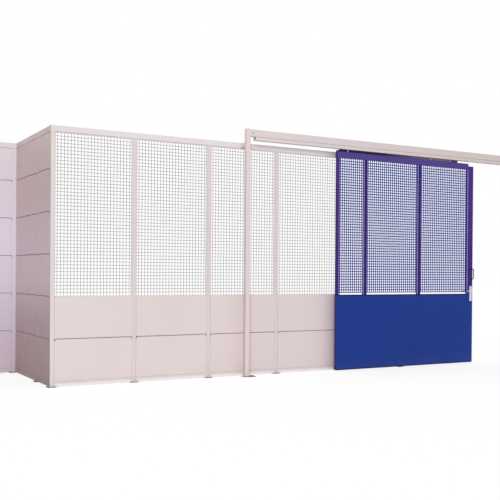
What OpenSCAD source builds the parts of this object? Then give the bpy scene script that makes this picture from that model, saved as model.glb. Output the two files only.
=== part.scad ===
// Wire mesh partition with a top-hung sliding door, as it stands on a workshop floor.
// X runs along the front wall to the right, Y runs back from its face, Z is up.
// The origin is on the floor, at the outer front corner of the corner post.
// Sizes are in millimetres.

/* [Wall] */
// Height of the wall, floor to top of its rail
wall_h = 3000; // [2600:10:3400]
// Distance from one front post to the next
bay_pitch = 1000; // [900:10:1100]
// Face width of a wall post
post_w = 50; // [40:1:70]
// Depth of a wall post, which is the depth of the wall
post_d = 50; // [44:1:70]
// Wall of the square tubes in the wall
tube_t = 2.5; // [1.5:0.1:4]
// Clear width of the side wall's front bay
side_bay_front = 500; // [300:10:900]
// Clear width of the side wall's back bay
side_bay_back = 1000; // [600:10:1400]
// Clear width of the left wall's bay
left_bay = 950; // [600:10:1400]

/* [Base plates] */
// Side of a wall post's square base plate
plate_side = 100; // [96:1:130]
// Thickness of every base plate
plate_t = 6; // [4:0.5:8]
// Spacing of the anchor holes in a wall post's base plate
anchor_pitch = 75; // [73:1:90]
// Radius of every anchor hole
anchor_r = 5.5; // [4:0.5:6.5]

/* [Rails and trays] */
// Height of the top rail
top_rail_h = 70; // [50:1:100]
// Height of the bottom rail's top above the floor
bottom_rail_z = 60; // [40:1:100]
// Height of one sheet metal tray
tray_h = 490; // [400:5:550]
// Depth of a tray, face to the edge of its flanges
tray_d = 34; // [24:1:40]
// Thickness of the tray's sheet
tray_t = 2; // [1:0.1:3]
// Height of the groove between two tray faces
seam_gap = 9; // [4:0.5:14]
// Gap between a tray's face and the post beside it
face_gap = 3; // [1:0.5:6]
// Depth of the grooves round a tray's face
groove_d = 5; // [3:0.5:8]

/* [Wall mesh] */
// Pitch of the wall's mesh, both ways
mesh_pitch = 40; // [25:1:80]
// Radius of the wall's mesh wire
wire_r = 2; // [1.5:0.1:3]
// Face width of the mesh frame's flat bar
frame_w = 8; // [6:1:14]
// Depth of the mesh frame's flat bar
frame_d = 25; // [16:1:30]

/* [Door] */
// Width of the door leaf
door_w = 2500; // [2400:10:2600]
// Height of the door leaf, without its hangers
door_h = 2978; // [2900:2:3050]
// Depth of the door's frame tubes
door_t = 45; // [40:1:50]
// Wall of the door's frame tubes
door_tube_t = 3; // [2:0.1:4]
// Gap between the door and the floor
door_gap = 10; // [9:1:14]
// Distance from the wall's face out to the face of the door's frame
door_offset = 150; // [130:1:190]
// Face width of the left stile
left_stile_w = 30; // [25:1:50]
// Face width of the lock stile
lock_stile_w = 100; // [80:1:110]
// How much lower the lock stile ends than the top rail
lock_stile_drop = 38; // [10:1:60]
// Face width of a mullion
mullion_w = 50; // [40:1:60]
// Left edge of the door to the middle of the first mullion
mullion_1_x = 485; // [350:5:600]
// Left edge of the door to the middle of the second mullion
mullion_2_x = 1455; // [1200:5:1600]
// Height of the door's top rail
door_rail_h = 85; // [60:1:110]
// Height of the door's bottom rail
door_foot_h = 50; // [44:1:70]
// Height of the top edge of the blue sheet above the floor
sheet_top_z = 1038; // [1000:1:1100]
// Thickness of the blue sheet
sheet_t = 2; // [1:0.1:3]
// Height of the rail behind the sheet's top edge
mid_rail_h = 40; // [30:1:60]
// How far the door stands from its open stop in the pictured place
door_out = 1330; // [200:10:2200]

/* [Door mesh] */
// Pitch of the door's mesh, both ways
door_pitch = 36; // [24:1:60]
// Radius of the door's mesh bars
bar_r = 6; // [3:0.1:6.1]
// Gap between the lowest bar and the sheet's top edge
mesh_lift = 24; // [10:1:40]
// Depth of the clamp strips beside the mesh
strip_d = 14; // [8:1:18]
// Thickness of the clamp strips
strip_t = 2; // [1.5:0.5:4]

/* [Track and posts] */
// Clear width from the wall's end post to the right tall post
doorway_w = 3480; // [3420:5:3500]
// Length of the header between the two tall posts
header_len = 5000; // [4900:10:5200]
// Side of the tall posts' square tube
tall_post_w = 60; // [56:1:80]
// Wall of the tall posts, the header and the track
tall_t = 3; // [2.5:0.1:4]
// Space between the door's top and the track
hang_space = 34; // [30:1:50]
// Height of the track
track_h = 46; // [44:1:60]
// Height of the header
header_h = 92; // [70:1:120]
// Gap from a tall post to the end of the track
track_inset = 72; // [60:1:80]
// Width of the slot along the track's underside
track_slot = 16; // [14:1:18]
// Length of a tall post's base plate
tall_plate_l = 160; // [140:1:200]
// Depth of a tall post's base plate
tall_plate_d = 110; // [106:1:140]
// Gap between the left tall post and the open door
open_gap = 30; // [10:1:60]

/* [Hangers] */
// Distance from the door's left edge to the hanger bar
bar_start = 50; // [20:5:120]
// Distance from the door's right edge to the hanger bar
bar_end = 320; // [200:5:500]
// Gap between the hanger bar and the track
bar_gap = 4; // [3:0.5:8]
// Depth of the hanger bar
bar_d = 40; // [30:1:44]
// Distance from the hanger bar's left end to its trolley
trolley_in_left = 115; // [80:1:300]
// Distance from the hanger bar's right end to its trolley
trolley_in_right = 158; // [80:1:300]
// Length of a trolley
trolley_l = 90; // [80:1:120]
// Radius of a trolley wheel
wheel_r = 14; // [11:0.5:15]
// Width of a trolley wheel
wheel_w = 10; // [6:0.5:11]
// Radius of a wheel axle
axle_r = 4; // [3:0.5:5]
// Radius of the pendant bolts
pendant_r = 6; // [5:0.5:6]

/* [Floor guide] */
// Radius of the guide roller
roller_r = 18; // [14:0.5:18]
// Height of the guide roller
roller_h = 24; // [16:1:24]
// Radius of the roller's pin
pin_r = 6; // [4:0.5:8]

/* [Lock and handles] */
// Distance from the door's edge to the lever's axis
backset = 36; // [34:1:40]
// Height of the lever's axis
lever_z = 1076; // [1074:1:1084]
// Height of the key cylinder's axis
key_z = 1000; // [996:1:1004]
// Length of the lever, from its axis
lever_len = 100; // [80:1:140]
// How far the lever stands out from the door
lever_out = 45; // [35:1:60]
// Width of the lock plate
plate_w = 50; // [44:1:54]
// Height of the lock plate
plate_h = 224; // [220:1:240]
// Thickness of the lock plate
plate_t2 = 3; // [2:0.5:4]
// Reach of the hook from its pivot
hook_reach = 32; // [28:1:34]
// Height of the middle of the bow handles
bow_z = 1335; // [1300:5:1500]
// Distance between a bow handle's feet
bow_len = 150; // [100:5:200]
// How far a bow handle stands out from the door
bow_out = 45; // [35:1:60]
// Radius of a bow handle's grip
bow_r = 7; // [5:0.5:9]
// Distance from the door's edge to the bow handles
bow_inset = 24; // [20:1:40]

/* [Hidden] */

$fn = 48;
// Overlap of a cutting shape past the face it cuts
cut = 1;
// Running gap between faces that move past each other
run_gap = 0.3;
// Radial gap of a shaft in its bore
bore_gap = 0.05;
// Gap round a part that drops into a cut-out
drop_gap = 0.5;
// Gap between pieces that are stacked, butted or crossed
butt_gap = 0.2;

wall_paint = [0.86, 0.82, 0.82];
side_paint = [0.74, 0.67, 0.67];
mesh_grey = [0.62, 0.62, 0.62];
frame_navy = [0.28, 0.23, 0.47];
sheet_blue = [0.15, 0.23, 0.53];
mesh_blue = [0.2, 0.3, 0.58];
strip_lilac = [0.55, 0.5, 0.68];
silver = [0.8, 0.8, 0.82];
black = [0.08, 0.08, 0.09];
steel = [0.55, 0.55, 0.57];
brass = [0.75, 0.6, 0.3];

// Wall layout
bay_count = 4;
bay_w = bay_pitch - post_w;
front_w = bay_count * bay_pitch + post_w;
front_tray_rows = 2;
mesh_z = bottom_rail_z + front_tray_rows * tray_h;
rail_z = wall_h - top_rail_h;
side_post_y = post_d + side_bay_front;
back_y = side_post_y + post_w + side_bay_back;
left_x = -post_w - left_bay - post_w;
side_rows = ceil((rail_z - bottom_rail_z) / tray_h);

// Door plane and heights
door_y = -door_offset;
track_y = door_y + door_t / 2;
door_z = door_gap;
door_top = door_z + door_h;
track_z = door_top + hang_space;
header_z = track_z + track_h;
// The tall posts reach the header's top, and the wall's top, where a bracket ties one back
tall_h = max(header_z + header_h, wall_h);

// Tall posts, the doorway and the door's travel
jamb_x = bay_count * bay_pitch;
right_post_x = jamb_x + post_w + doorway_w;
left_post_x = right_post_x - header_len - tall_post_w;
header_x = left_post_x + tall_post_w;
channel_leg = 36;
strike_depth = 23;
strike_t = 2;
forend_t = 3;
close_gap = 3;
strike_x = right_post_x - tall_t - strike_depth;
open_x = header_x + open_gap;
closed_x = strike_x - close_gap - forend_t - door_w;
door_x = open_x + door_out;
guide_x = (closed_x + open_x + door_w) / 2;

// Track and trolleys
track_in = tall_post_w / 2 - tall_t;
wheel_z = track_z + tall_t + run_gap + wheel_r;
bar_h = hang_space - bar_gap;
bar_z = door_top + bar_h;
bar_len = door_w - bar_start - bar_end;
trolley_x = [bar_start + trolley_in_left, bar_start + bar_len - trolley_in_right];
axle_off = trolley_l / 2 - 17;
trolley_t = 10;
trolley_h = 22;
trolley_z = wheel_z - trolley_h / 2;
wheel_y = track_slot / 2 + 1;
axle_head_t = 2;
stop_l = 40;
nut_r = 10;
nut_t = 7;
washer_t = 2;

// Lock layout, measured from the door's left edge
lock_x = door_w - backset;
case_w = 60;
case_t = 19;
case_wall = 1.5;
case_z = [960, 1130];
forend_w = 24;
forend_z = [925, 1165];
spindle_r = 5;
neck_r = 9;
arm_h = 18;
arm_t = 12;
plug_r = 6.5;
cyl_r = 8.5;
cyl_lobe_w = 10;
cyl_drop = 24.5;
cyl_out = 1;
cam_gap_r = 15.5;
cam_reach = 15;
cam_t = 9;
hook_x = door_w - 14;
hook_z = 1030;
hook_w = 16;
hook_t = 6;
hook_nose = 18;
hook_pin_r = 3;
plate_z = 928;

// A square or rectangular tube standing on the floor plane, open at both ends
module upright(w, d, h, t) {
    difference() {
        cube([w, d, h]);
        translate([t, t, -cut]) cube([w - 2 * t, d - 2 * t, h + 2 * cut]);
    }
}

// A tube lying along X, open at both ends
module lengthwise(l, d, h, t) {
    difference() {
        cube([l, d, h]);
        translate([-cut, t, t]) cube([l + 2 * cut, d - 2 * t, h - 2 * t]);
    }
}

// A tube lying along Y, open at both ends
module crosswise(l, d, h, t) {
    translate([d, 0, 0]) rotate([0, 0, 90]) lengthwise(l, d, h, t);
}

// A plate of length l and depth d with four anchor holes, centred on the origin
module base_plate(l, d, hole_x, hole_y) {
    difference() {
        translate([-l / 2, -d / 2, 0]) cube([l, d, plate_t]);
        for (sx = [-1, 1], sy = [-1, 1])
            translate([sx * hole_x / 2, sy * hole_y / 2, -cut])
                cylinder(r = anchor_r, h = plate_t + 2 * cut);
    }
}

// A wall post w wide: a tube on a base plate that stands out all round
module wall_post(w) {
    margin = plate_side - post_w;
    translate([w / 2, post_d / 2, 0])
        base_plate(w + margin, plate_side, w - post_w + anchor_pitch, anchor_pitch);
    translate([0, 0, plate_t]) upright(w, post_d, rail_z - plate_t, tube_t);
}

// A folded tray w wide and h high, face to the front, with shadow grooves round its face
module tray(w, h) {
    face_w = w - 2 * face_gap;
    face_h = h - seam_gap;
    difference() {
        union() {
            translate([face_gap, 0, seam_gap / 2]) cube([face_w, groove_d + cut, face_h]);
            translate([0, groove_d, butt_gap / 2]) cube([w, tray_d - groove_d, h - butt_gap]);
        }
        translate([face_gap + tray_t, tray_t, seam_gap / 2 + tray_t])
            cube([face_w - 2 * tray_t, tray_d, face_h - 2 * tray_t]);
    }
}

// A column of trays w wide from the bottom rail up to the top rail
module tray_column(w) {
    for (row = [0 : side_rows - 1]) {
        z = bottom_rail_z + row * tray_h;
        translate([0, 0, z]) tray(w, min(tray_h, rail_z - z));
    }
}

// Turns a piece drawn facing the front so that it faces left, running back from y = 0
module facing_left(w) {
    translate([0, w, 0]) rotate([0, 0, -90]) children();
}

// Crossing round bars that fill w by h: upright ones in front, level ones behind.
// With lift, the upright bars start that far up and the lowest level bar ends them.
module net(w, h, pitch, r, lift) {
    up_count = floor(w / pitch);
    up_first = (w - (up_count - 1) * pitch) / 2;
    level_count = floor((h - lift) / pitch);
    level_step = lift > 0 ? (h - lift - r) / level_count : pitch;
    level_first = lift > 0 ? lift + r : (h - (level_count - 1) * pitch) / 2;
    layer = r + butt_gap / 2;
    for (i = [0 : up_count - 1])
        translate([up_first + i * pitch, -layer, lift]) cylinder(r = r, h = h - lift);
    for (i = [0 : level_count - 1])
        translate([0, layer, level_first + i * level_step])
            rotate([0, 90, 0]) cylinder(r = r, h = w);
}

// ---- wall posts ----

module corner_post() {
    color(wall_paint) wall_post(post_w);
}

// The posts between the front bays, and the one at the left wall's free end
module wall_posts() {
    color(wall_paint) {
        for (k = [1 : bay_count - 1]) translate([k * bay_pitch, 0, 0]) wall_post(post_w);
        translate([left_x, back_y, 0]) wall_post(post_w);
    }
}

// The post that ends the front wall at the doorway
module jamb_post() {
    color(wall_paint) translate([jamb_x, 0, 0]) wall_post(post_w);
}

module side_post() {
    color(side_paint) translate([0, side_post_y, 0]) facing_left(post_w) wall_post(post_w);
}

module back_corner_post() {
    color(wall_paint) translate([-post_w, back_y, 0]) wall_post(2 * post_w);
}

// ---- rails ----

module front_top_rail() {
    // The rail is in two lengths, which meet behind the left tall post
    joint_gap = 3;
    joint_x = left_post_x + tall_post_w / 2;
    color(wall_paint) translate([0, 0, rail_z]) {
        lengthwise(joint_x - joint_gap / 2, post_d, top_rail_h, tube_t);
        translate([joint_x + joint_gap / 2, 0, 0])
            lengthwise(front_w - joint_x - joint_gap / 2, post_d, top_rail_h, tube_t);
    }
}

module side_top_rail() {
    color(side_paint)
        translate([0, post_d, rail_z]) crosswise(back_y - post_d, post_w, top_rail_h, tube_t);
}

module left_top_rail() {
    color(wall_paint)
        translate([left_x, back_y, rail_z])
            lengthwise(post_w - left_x, post_d, top_rail_h, tube_t);
}

module bottom_rails() {
    rail_h = bottom_rail_z - plate_t;
    color(wall_paint) translate([0, 0, plate_t]) {
        for (k = [0 : bay_count - 1])
            translate([k * bay_pitch + post_w, 0, 0])
                lengthwise(bay_w, post_d, rail_h, tube_t);
        translate([0, post_d, 0]) crosswise(side_bay_front, post_w, rail_h, tube_t);
        translate([0, side_post_y + post_w, 0])
            crosswise(side_bay_back, post_w, rail_h, tube_t);
        translate([left_x + post_w, back_y, 0])
            lengthwise(left_bay, post_d, rail_h, tube_t);
    }
}

// ---- wall panels ----

module mesh_frames() {
    frame_y = (post_d - frame_d) / 2;
    frame_h = rail_z - mesh_z;
    color(wall_paint)
        for (k = [0 : bay_count - 1]) translate([k * bay_pitch + post_w, frame_y, mesh_z]) {
            for (x = [0, bay_w - frame_w]) translate([x, 0, 0]) cube([frame_w, frame_d, frame_h]);
            for (z = [0, frame_h - frame_w])
                translate([frame_w + butt_gap, 0, z])
                    cube([bay_w - 2 * frame_w - 2 * butt_gap, frame_d, frame_w]);
        }
}

module wall_net(k) {
    color(mesh_grey)
        translate([k * bay_pitch + post_w + frame_w, post_d / 2, mesh_z + frame_w])
            net(bay_w - 2 * frame_w, rail_z - mesh_z - 2 * frame_w, mesh_pitch, wire_r, 0);
}

module wire_mesh_1() { wall_net(0); }
module wire_mesh_2() { wall_net(1); }
module wire_mesh_3() { wall_net(2); }
module wire_mesh_4() { wall_net(3); }

module front_trays(row) {
    color(wall_paint)
        for (k = [0 : bay_count - 1])
            translate([k * bay_pitch + post_w, 0, bottom_rail_z + row * tray_h])
                tray(bay_w, tray_h);
}

module front_lower_trays() { front_trays(0); }
module front_upper_trays() { front_trays(1); }

module side_trays() {
    color(side_paint) {
        translate([0, post_d, 0]) facing_left(side_bay_front) tray_column(side_bay_front);
        translate([0, side_post_y + post_w, 0])
            facing_left(side_bay_back) tray_column(side_bay_back);
    }
}

module left_trays() {
    color(wall_paint) translate([left_x + post_w, back_y, 0]) tray_column(left_bay);
}

// ---- tall posts, header and track ----

// A tall post whose base plate runs on past its right side
module tall_post() {
    plate_back = 10;
    hole_edge = 18;
    translate([tall_plate_l / 2 - plate_back, tall_post_w / 2, 0])
        base_plate(tall_plate_l, tall_plate_d, tall_plate_l - 2 * hole_edge,
            tall_plate_d - 25);
    translate([0, 0, plate_t])
        upright(tall_post_w, tall_post_w, tall_h - plate_t, tall_t);
}

module left_track_post() {
    color(wall_paint)
        translate([left_post_x, track_y - tall_post_w / 2, 0]) tall_post();
}

module right_track_post() {
    color(wall_paint)
        translate([right_post_x, track_y - tall_post_w / 2, 0]) tall_post();
}

// A push-in cap for a tube w by d: a lid with a plug below it
module cap(w, d, t) {
    lid = 3;
    plug = 15;
    cube([w, d, lid]);
    translate([t, t, -plug]) cube([w - 2 * t, d - 2 * t, plug]);
}

module tube_caps() {
    color(wall_paint) {
        for (x = [left_post_x, right_post_x])
            translate([x, track_y - tall_post_w / 2, tall_h]) cap(tall_post_w, tall_post_w, tall_t);
        for (end = [[front_w, 0], [post_w, back_y]])
            translate([end[0], end[1], wall_h]) rotate([0, 90, 0]) cap(top_rail_h, post_d, tube_t);
        for (end = [[0, 0], [left_x, back_y]])
            translate([end[0], end[1], rail_z]) rotate([0, -90, 0])
                cap(top_rail_h, post_d, tube_t);
    }
}

// The spacer that ties the left tall post back to the wall's top rail
module wall_bracket() {
    gap = -(track_y + tall_post_w / 2);
    bracket_h = 56;
    color(steel)
        translate([left_post_x, -gap, rail_z + (top_rail_h - bracket_h) / 2])
            crosswise(gap, tall_post_w, bracket_h, tube_t);
}

// Places children at each header bolt, with the bolt's axis along Y
module at_header_bolts() {
    bolt_in = 34;
    for (x = [bolt_in, header_len - bolt_in])
        translate([header_x + x, track_y - tall_post_w / 2, header_z + header_h / 2])
            rotate([-90, 0, 0]) children();
}

header_bolt_r = 6;
header_bolt_l = 12;

module header_beam() {
    color(wall_paint) difference() {
        translate([header_x, track_y - tall_post_w / 2, header_z])
            lengthwise(header_len, tall_post_w, header_h, tall_t);
        translate([0, -cut, 0]) at_header_bolts()
            cylinder(r = header_bolt_r, h = tall_t + 2 * cut);
        at_track_bolts() translate([0, 0, tall_t]) cylinder(r = track_bolt_r, h = 2 * tall_t);
    }
}

// The sockets inside the header's ends, one on each tall post
module header_brackets() {
    socket_l = 100;
    play = 0.2;
    inner_d = tall_post_w - 2 * tall_t - 2 * play;
    inner_h = header_h - 2 * tall_t - 2 * play;
    color(steel) difference() {
        for (x = [0, header_len - socket_l])
            translate([header_x + x, track_y - inner_d / 2, header_z + tall_t + play])
                lengthwise(socket_l, inner_d, inner_h, tall_t);
        at_header_bolts() cylinder(r = header_bolt_r, h = 3 * tall_t);
    }
}

module header_bolts() {
    head_t = 7;
    color(steel) at_header_bolts() {
        translate([0, 0, -head_t]) cylinder(r = 10, h = head_t, $fn = 6);
        cylinder(r = header_bolt_r, h = header_bolt_l);
    }
}

track_bolt_r = 4;
track_len = header_len - 2 * track_inset;

// Places children at each track bolt, at the underside of the track's web
module at_track_bolts() {
    bolt_count = 9;
    bolt_in = 60;
    step = (track_len - 2 * bolt_in) / (bolt_count - 1);
    for (i = [0 : bolt_count - 1])
        translate([header_x + track_inset + bolt_in + i * step, track_y, header_z - tall_t])
            children();
}

// A C rail, open below, as its web, its two sides and its two lips
module door_track() {
    lip_w = (tall_post_w - track_slot) / 2 - tall_t - butt_gap;
    side_h = track_h - tall_t - butt_gap;
    color(wall_paint) difference() {
        translate([header_x + track_inset, track_y, track_z]) {
            translate([0, -tall_post_w / 2, track_h - tall_t])
                cube([track_len, tall_post_w, tall_t]);
            for (y = [-tall_post_w / 2, tall_post_w / 2 - tall_t])
                translate([0, y, 0]) cube([track_len, tall_t, side_h]);
            for (y = [-track_slot / 2 - lip_w, track_slot / 2])
                translate([0, y, 0]) cube([track_len, lip_w, tall_t]);
        }
        translate([0, 0, -cut]) at_track_bolts()
            cylinder(r = track_bolt_r, h = tall_t + 2 * cut);
    }
}

module track_bolts() {
    head_t = 3;
    color(steel) at_track_bolts() {
        translate([0, 0, -head_t]) cylinder(r = 9, h = head_t);
        cylinder(r = track_bolt_r, h = 4 * tall_t);
    }
}

// The buffers inside the track that the trolleys run up to
module track_stops() {
    stop_gap = 1;
    stop_h = 26;
    left_end = open_x + trolley_x[0] - trolley_l / 2 - stop_gap;
    right_end = closed_x + trolley_x[1] + trolley_l / 2 + stop_gap;
    color(black)
        for (x = [left_end - stop_l, right_end])
            translate([x, track_y - track_in + run_gap, track_z + tall_t])
                cube([stop_l, 2 * (track_in - run_gap), stop_h]);
}

// ---- closing side and floor guide ----

// The channel on the right tall post that takes in the door's edge
module closing_channel() {
    channel_top = door_top - lock_stile_drop;
    color(wall_paint)
        translate([right_post_x - channel_leg, track_y - tall_post_w / 2, plate_t])
            difference() {
                cube([channel_leg, tall_post_w, channel_top - plate_t]);
                translate([-cut, tall_t, -cut])
                    cube([channel_leg - tall_t + cut, tall_post_w - 2 * tall_t, channel_top]);
            }
}

// The box that the hook swings into, open to the channel's web
module strike_box() {
    box_w = 39;
    box_below = 30;
    box_above = 62;
    box_z = [hook_z - box_below, hook_z + box_above];
    slot_w = 12;
    slot_z = [hook_z - hook_w, hook_z + 42];
    color(silver) difference() {
        translate([strike_x, track_y - box_w / 2, box_z[0]])
            cube([strike_depth, box_w, box_z[1] - box_z[0]]);
        translate([strike_x + strike_t, track_y - box_w / 2 + strike_t, box_z[0] + strike_t])
            cube([strike_depth, box_w - 2 * strike_t, box_z[1] - box_z[0] - 2 * strike_t]);
        translate([strike_x - cut, track_y - slot_w / 2, slot_z[0]])
            cube([strike_t + 2 * cut, slot_w, slot_z[1] - slot_z[0]]);
    }
}

roller_z = door_z + (door_foot_h - tall_t - roller_h) / 2;

// The plate and pin on the floor that keep the door's foot in line
module floor_guide() {
    guide_l = 80;
    guide_front = 30;
    guide_back = 95;
    hole_pitch = 50;
    hole_y = 70;
    collar_r = 10;
    head_t = 3;
    color(steel) translate([guide_x, track_y, 0]) {
        difference() {
            translate([-guide_l / 2, -guide_front, 0])
                cube([guide_l, guide_front + guide_back, plate_t]);
            for (x = [-hole_pitch / 2, hole_pitch / 2])
                translate([x, hole_y, -cut]) cylinder(r = anchor_r, h = plate_t + 2 * cut);
        }
        cylinder(r = collar_r, h = roller_z - run_gap);
        cylinder(r = pin_r, h = roller_z + roller_h + run_gap + head_t);
        translate([0, 0, roller_z + roller_h + run_gap]) cylinder(r = collar_r, h = head_t);
    }
}

module guide_roller() {
    color(black) translate([guide_x, track_y, roller_z]) difference() {
        cylinder(r = roller_r, h = roller_h);
        translate([0, 0, -cut]) cylinder(r = pin_r + bore_gap, h = roller_h + 2 * cut);
    }
}

// ---- door frame ----

// Children are drawn from the door's left edge, its frame's face and the floor
module on_door() {
    translate([door_x, door_y, 0]) children();
}

stile_z = door_z + door_foot_h;
door_rail_z = door_top - door_rail_h;
lock_stile_x = door_w - lock_stile_w;
mullion_left = [mullion_1_x - mullion_w / 2, mullion_2_x - mullion_w / 2];
// Left and right edge of each mesh bay
bay_left = [left_stile_w, mullion_left[0] + mullion_w, mullion_left[1] + mullion_w];
bay_right = [mullion_left[0], mullion_left[1], lock_stile_x];

module door_left_stile() {
    color(frame_navy) on_door() translate([0, 0, stile_z])
        upright(left_stile_w, door_t, door_rail_z - stile_z, door_tube_t);
}

module door_lock_stile() {
    stile_top = door_top - lock_stile_drop;
    hole_r = 7;
    color(frame_navy) on_door() difference() {
        translate([lock_stile_x, 0, stile_z])
            upright(lock_stile_w, door_t, stile_top - stile_z, door_tube_t);
        translate([lock_x, -cut, lever_z]) rotate([-90, 0, 0])
            cylinder(r = hole_r, h = door_t + 2 * cut);
        translate([lock_x, -cut, key_z]) cylinder_profile(drop_gap, door_t + 2 * cut);
        translate([door_w - door_tube_t - cut, (door_t - case_t) / 2 - drop_gap,
            case_z[0] - drop_gap])
            cube([door_tube_t + 2 * cut, case_t + 2 * drop_gap,
                case_z[1] - case_z[0] + 2 * drop_gap]);
    }
}

module door_top_rail() {
    color(frame_navy) on_door() translate([0, 0, door_rail_z])
        lengthwise(lock_stile_x, door_t, door_rail_h, door_tube_t);
}

// The foot rail is open below, and the guide roller runs inside it
module door_bottom_rail() {
    leg_t = door_t / 2 - roller_r - drop_gap;
    color(frame_navy) on_door() difference() {
        translate([0, 0, door_z]) cube([door_w, door_t, door_foot_h]);
        translate([-cut, leg_t, door_z - cut])
            cube([door_w + 2 * cut, door_t - 2 * leg_t, door_foot_h - tall_t + cut]);
    }
}

module door_mullions() {
    color(frame_navy) on_door()
        for (x = mullion_left) translate([x, 0, stile_z])
            upright(mullion_w, door_t, door_rail_z - stile_z, door_tube_t);
}

module door_mid_rails() {
    color(frame_navy) on_door()
        for (i = [0 : 2]) translate([bay_left[i], 0, sheet_top_z - mid_rail_h])
            lengthwise(bay_right[i] - bay_left[i], door_t, mid_rail_h, door_tube_t);
}

module door_net(i) {
    back_gap = 4;
    color(mesh_blue) on_door()
        translate([bay_left[i], door_t - back_gap - 2 * bar_r - butt_gap, sheet_top_z])
            net(bay_right[i] - bay_left[i], door_rail_z - sheet_top_z, door_pitch, bar_r,
                mesh_lift);
}

module door_mesh_1() { door_net(0); }
module door_mesh_2() { door_net(1); }
module door_mesh_3() { door_net(2); }

module mesh_clamp_strips() {
    strip_y = 2;
    color(strip_lilac) on_door()
        for (x = concat(bay_left, [for (r = bay_right) r - strip_t]))
            translate([x, strip_y, sheet_top_z])
                cube([strip_t, strip_d, door_rail_z - sheet_top_z]);
}

// The sheet covers the frame up to its top edge and is notched round the lock plate
module door_sheet() {
    notch_gap = 4;
    color(sheet_blue) on_door() difference() {
        translate([0, -sheet_t, door_z]) cube([door_w, sheet_t, sheet_top_z - door_z]);
        translate([lock_x - plate_w / 2 - notch_gap, -sheet_t - cut, plate_z - notch_gap])
            cube([plate_w + 2 * notch_gap, sheet_t + 2 * cut, sheet_top_z]);
    }
}

// ---- hangers ----

module hanger_bar() {
    color(frame_navy) on_door() difference() {
        translate([bar_start, (door_t - bar_d) / 2, door_top])
            lengthwise(bar_len, bar_d, bar_h, tall_t);
        for (x = trolley_x) translate([x, door_t / 2, door_top + tall_t])
            cylinder(r = pendant_r, h = bar_h);
    }
}

// Places children at each axle of both trolleys, with the axle along Y
module at_axles() {
    for (x = trolley_x, s = [-1, 1])
        translate([x + s * axle_off, door_t / 2, wheel_z]) rotate([-90, 0, 0]) children();
}

boss_r = 6;

module trolleys() {
    boss_l = wheel_y - run_gap;
    color(steel) on_door() difference() {
        union() {
            for (x = trolley_x)
                translate([x - trolley_l / 2, (door_t - trolley_t) / 2, trolley_z])
                    cube([trolley_l, trolley_t, trolley_h]);
            at_axles() translate([0, 0, -boss_l]) cylinder(r = boss_r, h = 2 * boss_l);
        }
        at_axles() translate([0, 0, -boss_l - cut]) cylinder(r = axle_r, h = 2 * boss_l + 2 * cut);
    }
}

module wheel_axles() {
    axle_half = wheel_y + wheel_w + run_gap;
    color(silver) on_door() at_axles() {
        translate([0, 0, -axle_half]) cylinder(r = axle_r, h = 2 * axle_half);
        for (z = [-axle_half - axle_head_t, axle_half])
            translate([0, 0, z]) cylinder(r = boss_r, h = axle_head_t);
    }
}

module pendant_bolts() {
    bolt_bottom = bar_z - tall_t - nut_t;
    color(steel) on_door() for (x = trolley_x) translate([x, door_t / 2, 0]) {
        translate([0, 0, bolt_bottom]) cylinder(r = pendant_r, h = trolley_z - bolt_bottom);
        translate([0, 0, bar_z]) cylinder(r = nut_r, h = washer_t);
        translate([0, 0, bolt_bottom]) cylinder(r = nut_r, h = nut_t, $fn = 6);
    }
}

// The two wheels on one axle of a trolley
module wheel_pair(t, s) {
    color(black) on_door() translate([trolley_x[t] + s * axle_off, door_t / 2, wheel_z])
        rotate([-90, 0, 0])
            for (z = [wheel_y, -wheel_y - wheel_w]) translate([0, 0, z]) difference() {
                cylinder(r = wheel_r, h = wheel_w);
                translate([0, 0, -cut]) cylinder(r = axle_r + bore_gap, h = wheel_w + 2 * cut);
            }
}

module trolley_wheels_1() { wheel_pair(0, -1); }
module trolley_wheels_2() { wheel_pair(0, 1); }
module trolley_wheels_3() { wheel_pair(1, -1); }
module trolley_wheels_4() { wheel_pair(1, 1); }

// ---- handles and lock ----

// Draws children on the door's face and mirrored on its back
module both_faces() {
    children();
    translate([0, door_t, 0]) mirror([0, 1, 0]) children();
}

module bow_handles() {
    foot_r = 6;
    rose_r = 10;
    rose_t = 4;
    color(black) on_door() both_faces() translate([door_w - bow_inset, 0, bow_z]) {
        for (s = [-1, 1]) translate([0, 0, s * bow_len / 2]) {
            rotate([90, 0, 0]) cylinder(r = foot_r, h = bow_out);
            rotate([90, 0, 0]) cylinder(r = rose_r, h = rose_t);
            translate([0, -bow_out, 0]) sphere(r = bow_r);
        }
        translate([0, -bow_out, -bow_len / 2]) cylinder(r = bow_r, h = bow_len);
    }
}

// The outline of the key cylinder, grown by gap and l deep along Y
module cylinder_profile(gap, l) {
    lobe_r = cyl_lobe_w / 2 + gap;
    rotate([-90, 0, 0]) {
        cylinder(r = cyl_r + gap, h = l);
        translate([-lobe_r, 0, 0]) cube([2 * lobe_r, cyl_drop - cyl_lobe_w / 2, l]);
        translate([0, cyl_drop - cyl_lobe_w / 2, 0]) cylinder(r = lobe_r, h = l);
    }
}

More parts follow.
